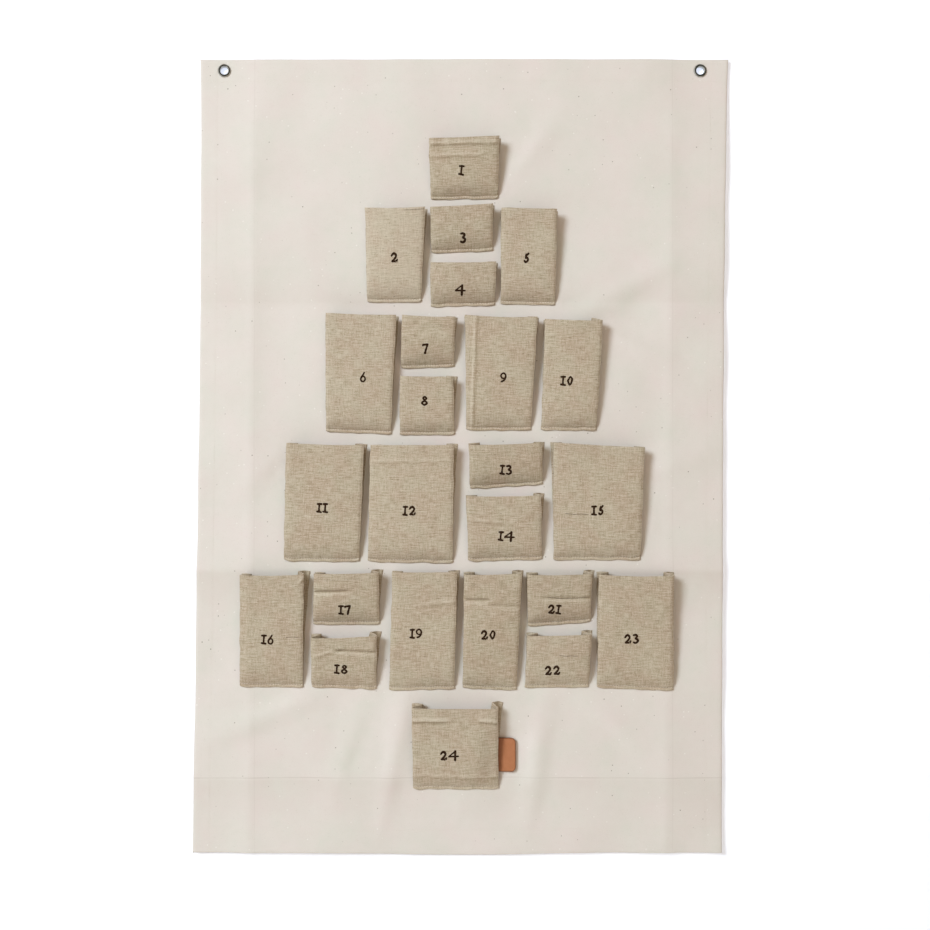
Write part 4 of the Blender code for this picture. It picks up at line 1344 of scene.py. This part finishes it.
# The leather tab. A small piece of tan hide, sewn into the right side of the last pocket, with
# rounded corners and edges that are burnished darker, and a painted shadow near its sewn end. It is left
# plain.
tab_low_corner, tab_high_corner = tab_corners
tab_corner = 0.0055
TAB_INSETS = (0.00015, 0.0004, 0.0009, 0.0018, 0.0032, 0.0052)  # of its rings, from the rim inwards
tab_edge = 0.0004
tab_round = 0.00012
tab_curl = 0.0009
tab_cup = 0.0004
tab_cup_width = 0.019
tab_burnish = 0.0014  # how far in from the rim the hide is darkened
tab_shadow_reach = 0.010  # how far from its sewn end the pocket's painted shadow reaches
tab_shadow_share = 0.45  # and how dark it is
tan_clouds_per_metre = 160.0
pores_per_metre = 2600.0
TAN = "C4845C"
TAN_DEEP = "AA6D48"
TAN_BURNISHED_AND_SHADOW = "704830"


def leather_finish():
    """Vegetable-tanned hide, lightly waxed: fine pores, cloudy colour, dark burnished edges, and a painted
    shadow near its sewn end.
    """
    made, tree, shader = start_finish("tan_vegetable_tanned_hide", {"Specular IOR Level": 0.35})
    place = add(tree, "TexCoord").outputs["Object"]
    clouds = add(tree, "TexNoise", {"Vector": place, "Scale": tan_clouds_per_metre, "Detail": 4.0})
    colour = add(tree, "Mix", {0: clouds, 6: paint(TAN), 7: paint(TAN_DEEP)}, data_type="RGBA")
    # The attribute holds the burnished rim and a painted shadow near the sewn end.
    rim = add(tree, "Attribute", attribute_name="burnish_and_painted_shadow").outputs["Fac"]
    burnished_and_shadowed = add(tree, "Mix", {0: rim, 6: colour, 7: paint(TAN_BURNISHED_AND_SHADOW)}, data_type="RGBA")
    pores = add(tree, "TexVoronoi", {"Vector": place, "Scale": pores_per_metre})
    wear = add(tree, "MapRange", {0: clouds, 1: 0.3, 2: 0.7, 3: 0.42, 4: 0.6})
    bump = add(tree, "Bump", {"Height": pores, "Strength": 0.25, "Distance": 0.0001})
    wire(shader, {"Base Color": burnished_and_shadowed, "Roughness": wear, "Normal": bump})
    return made


def tab_outline(inset):
    """The tab's outline: square where it is sewn in, and rounded where it shows."""
    low_x, high_x = tab_low_corner.x + inset, tab_high_corner.x - inset
    low_z, high_z = tab_low_corner.z + inset, tab_high_corner.z - inset
    radius = tab_corner - inset
    outline = [(low_x + (high_x - radius - low_x) * s, low_z) for s in spaced(0.0, 1.0, 8)[:-1]]
    for centre_z, start in ((low_z + radius, -math.pi / 2), (high_z - radius, 0.0)):
        for turn in spaced(start, start + math.pi / 2, 10):
            outline.append((high_x - radius + radius * math.cos(turn), centre_z + radius * math.sin(turn)))
    outline += [(low_x + (high_x - radius - low_x) * s, high_z) for s in spaced(1.0, 0.0, 8)[1:]]
    return outline


def build_tab():
    """The tab in rings from its rim to its middle, front and back, with a slight curl outwards."""
    front_y, back_y = tab_low_corner.y, tab_high_corner.y
    middle_z = (tab_low_corner.z + tab_high_corner.z) / 2
    first, *inner = TAB_INSETS
    layers = [(back_y, inset) for inset in reversed(inner)] + [(back_y - tab_round, first)]
    layers += [(back_y - tab_edge, 0.0), (front_y + tab_edge, 0.0), (front_y + tab_round, first)]
    layers += [(front_y, inset) for inset in inner]
    points, dark = [], []
    for y, inset in layers:
        for x, z in tab_outline(inset):
            out = (x - tab_low_corner.x) / (tab_high_corner.x - tab_low_corner.x)
            curled = tab_curl * out * out + tab_cup * ((z - middle_z) / tab_cup_width) ** 2 * out
            points.append((x, y - curled, z))
            # Painted shadow of the pocket's side, fading out from the tab's sewn end, beside the real
            # burnished rim.
            shadowed = tab_shadow_share * max(0.0, 1.0 - (x - tab_low_corner.x) / tab_shadow_reach)
            dark.append(max(shadowed, 1.0 - inset / tab_burnish))
    around = len(tab_outline(0.0))
    faces = []
    for layer in range(len(layers) - 1):
        for i in range(around):
            j = (i + 1) % around
            a, b = layer * around, (layer + 1) * around
            faces.append((a + i, a + j, b + j, b + i))
    faces.append(tuple(range(around)))
    faces.append(tuple(reversed(range((len(layers) - 1) * around, len(layers) * around))))
    made = add_mesh("leather_tab_hide", points, faces, leather_finish())
    made.data.attributes.new("burnish_and_painted_shadow", "FLOAT", "POINT").data.foreach_set("value", dark)
    return made


tab = build_tab()
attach(tab, "tab")
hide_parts("leather_tab")
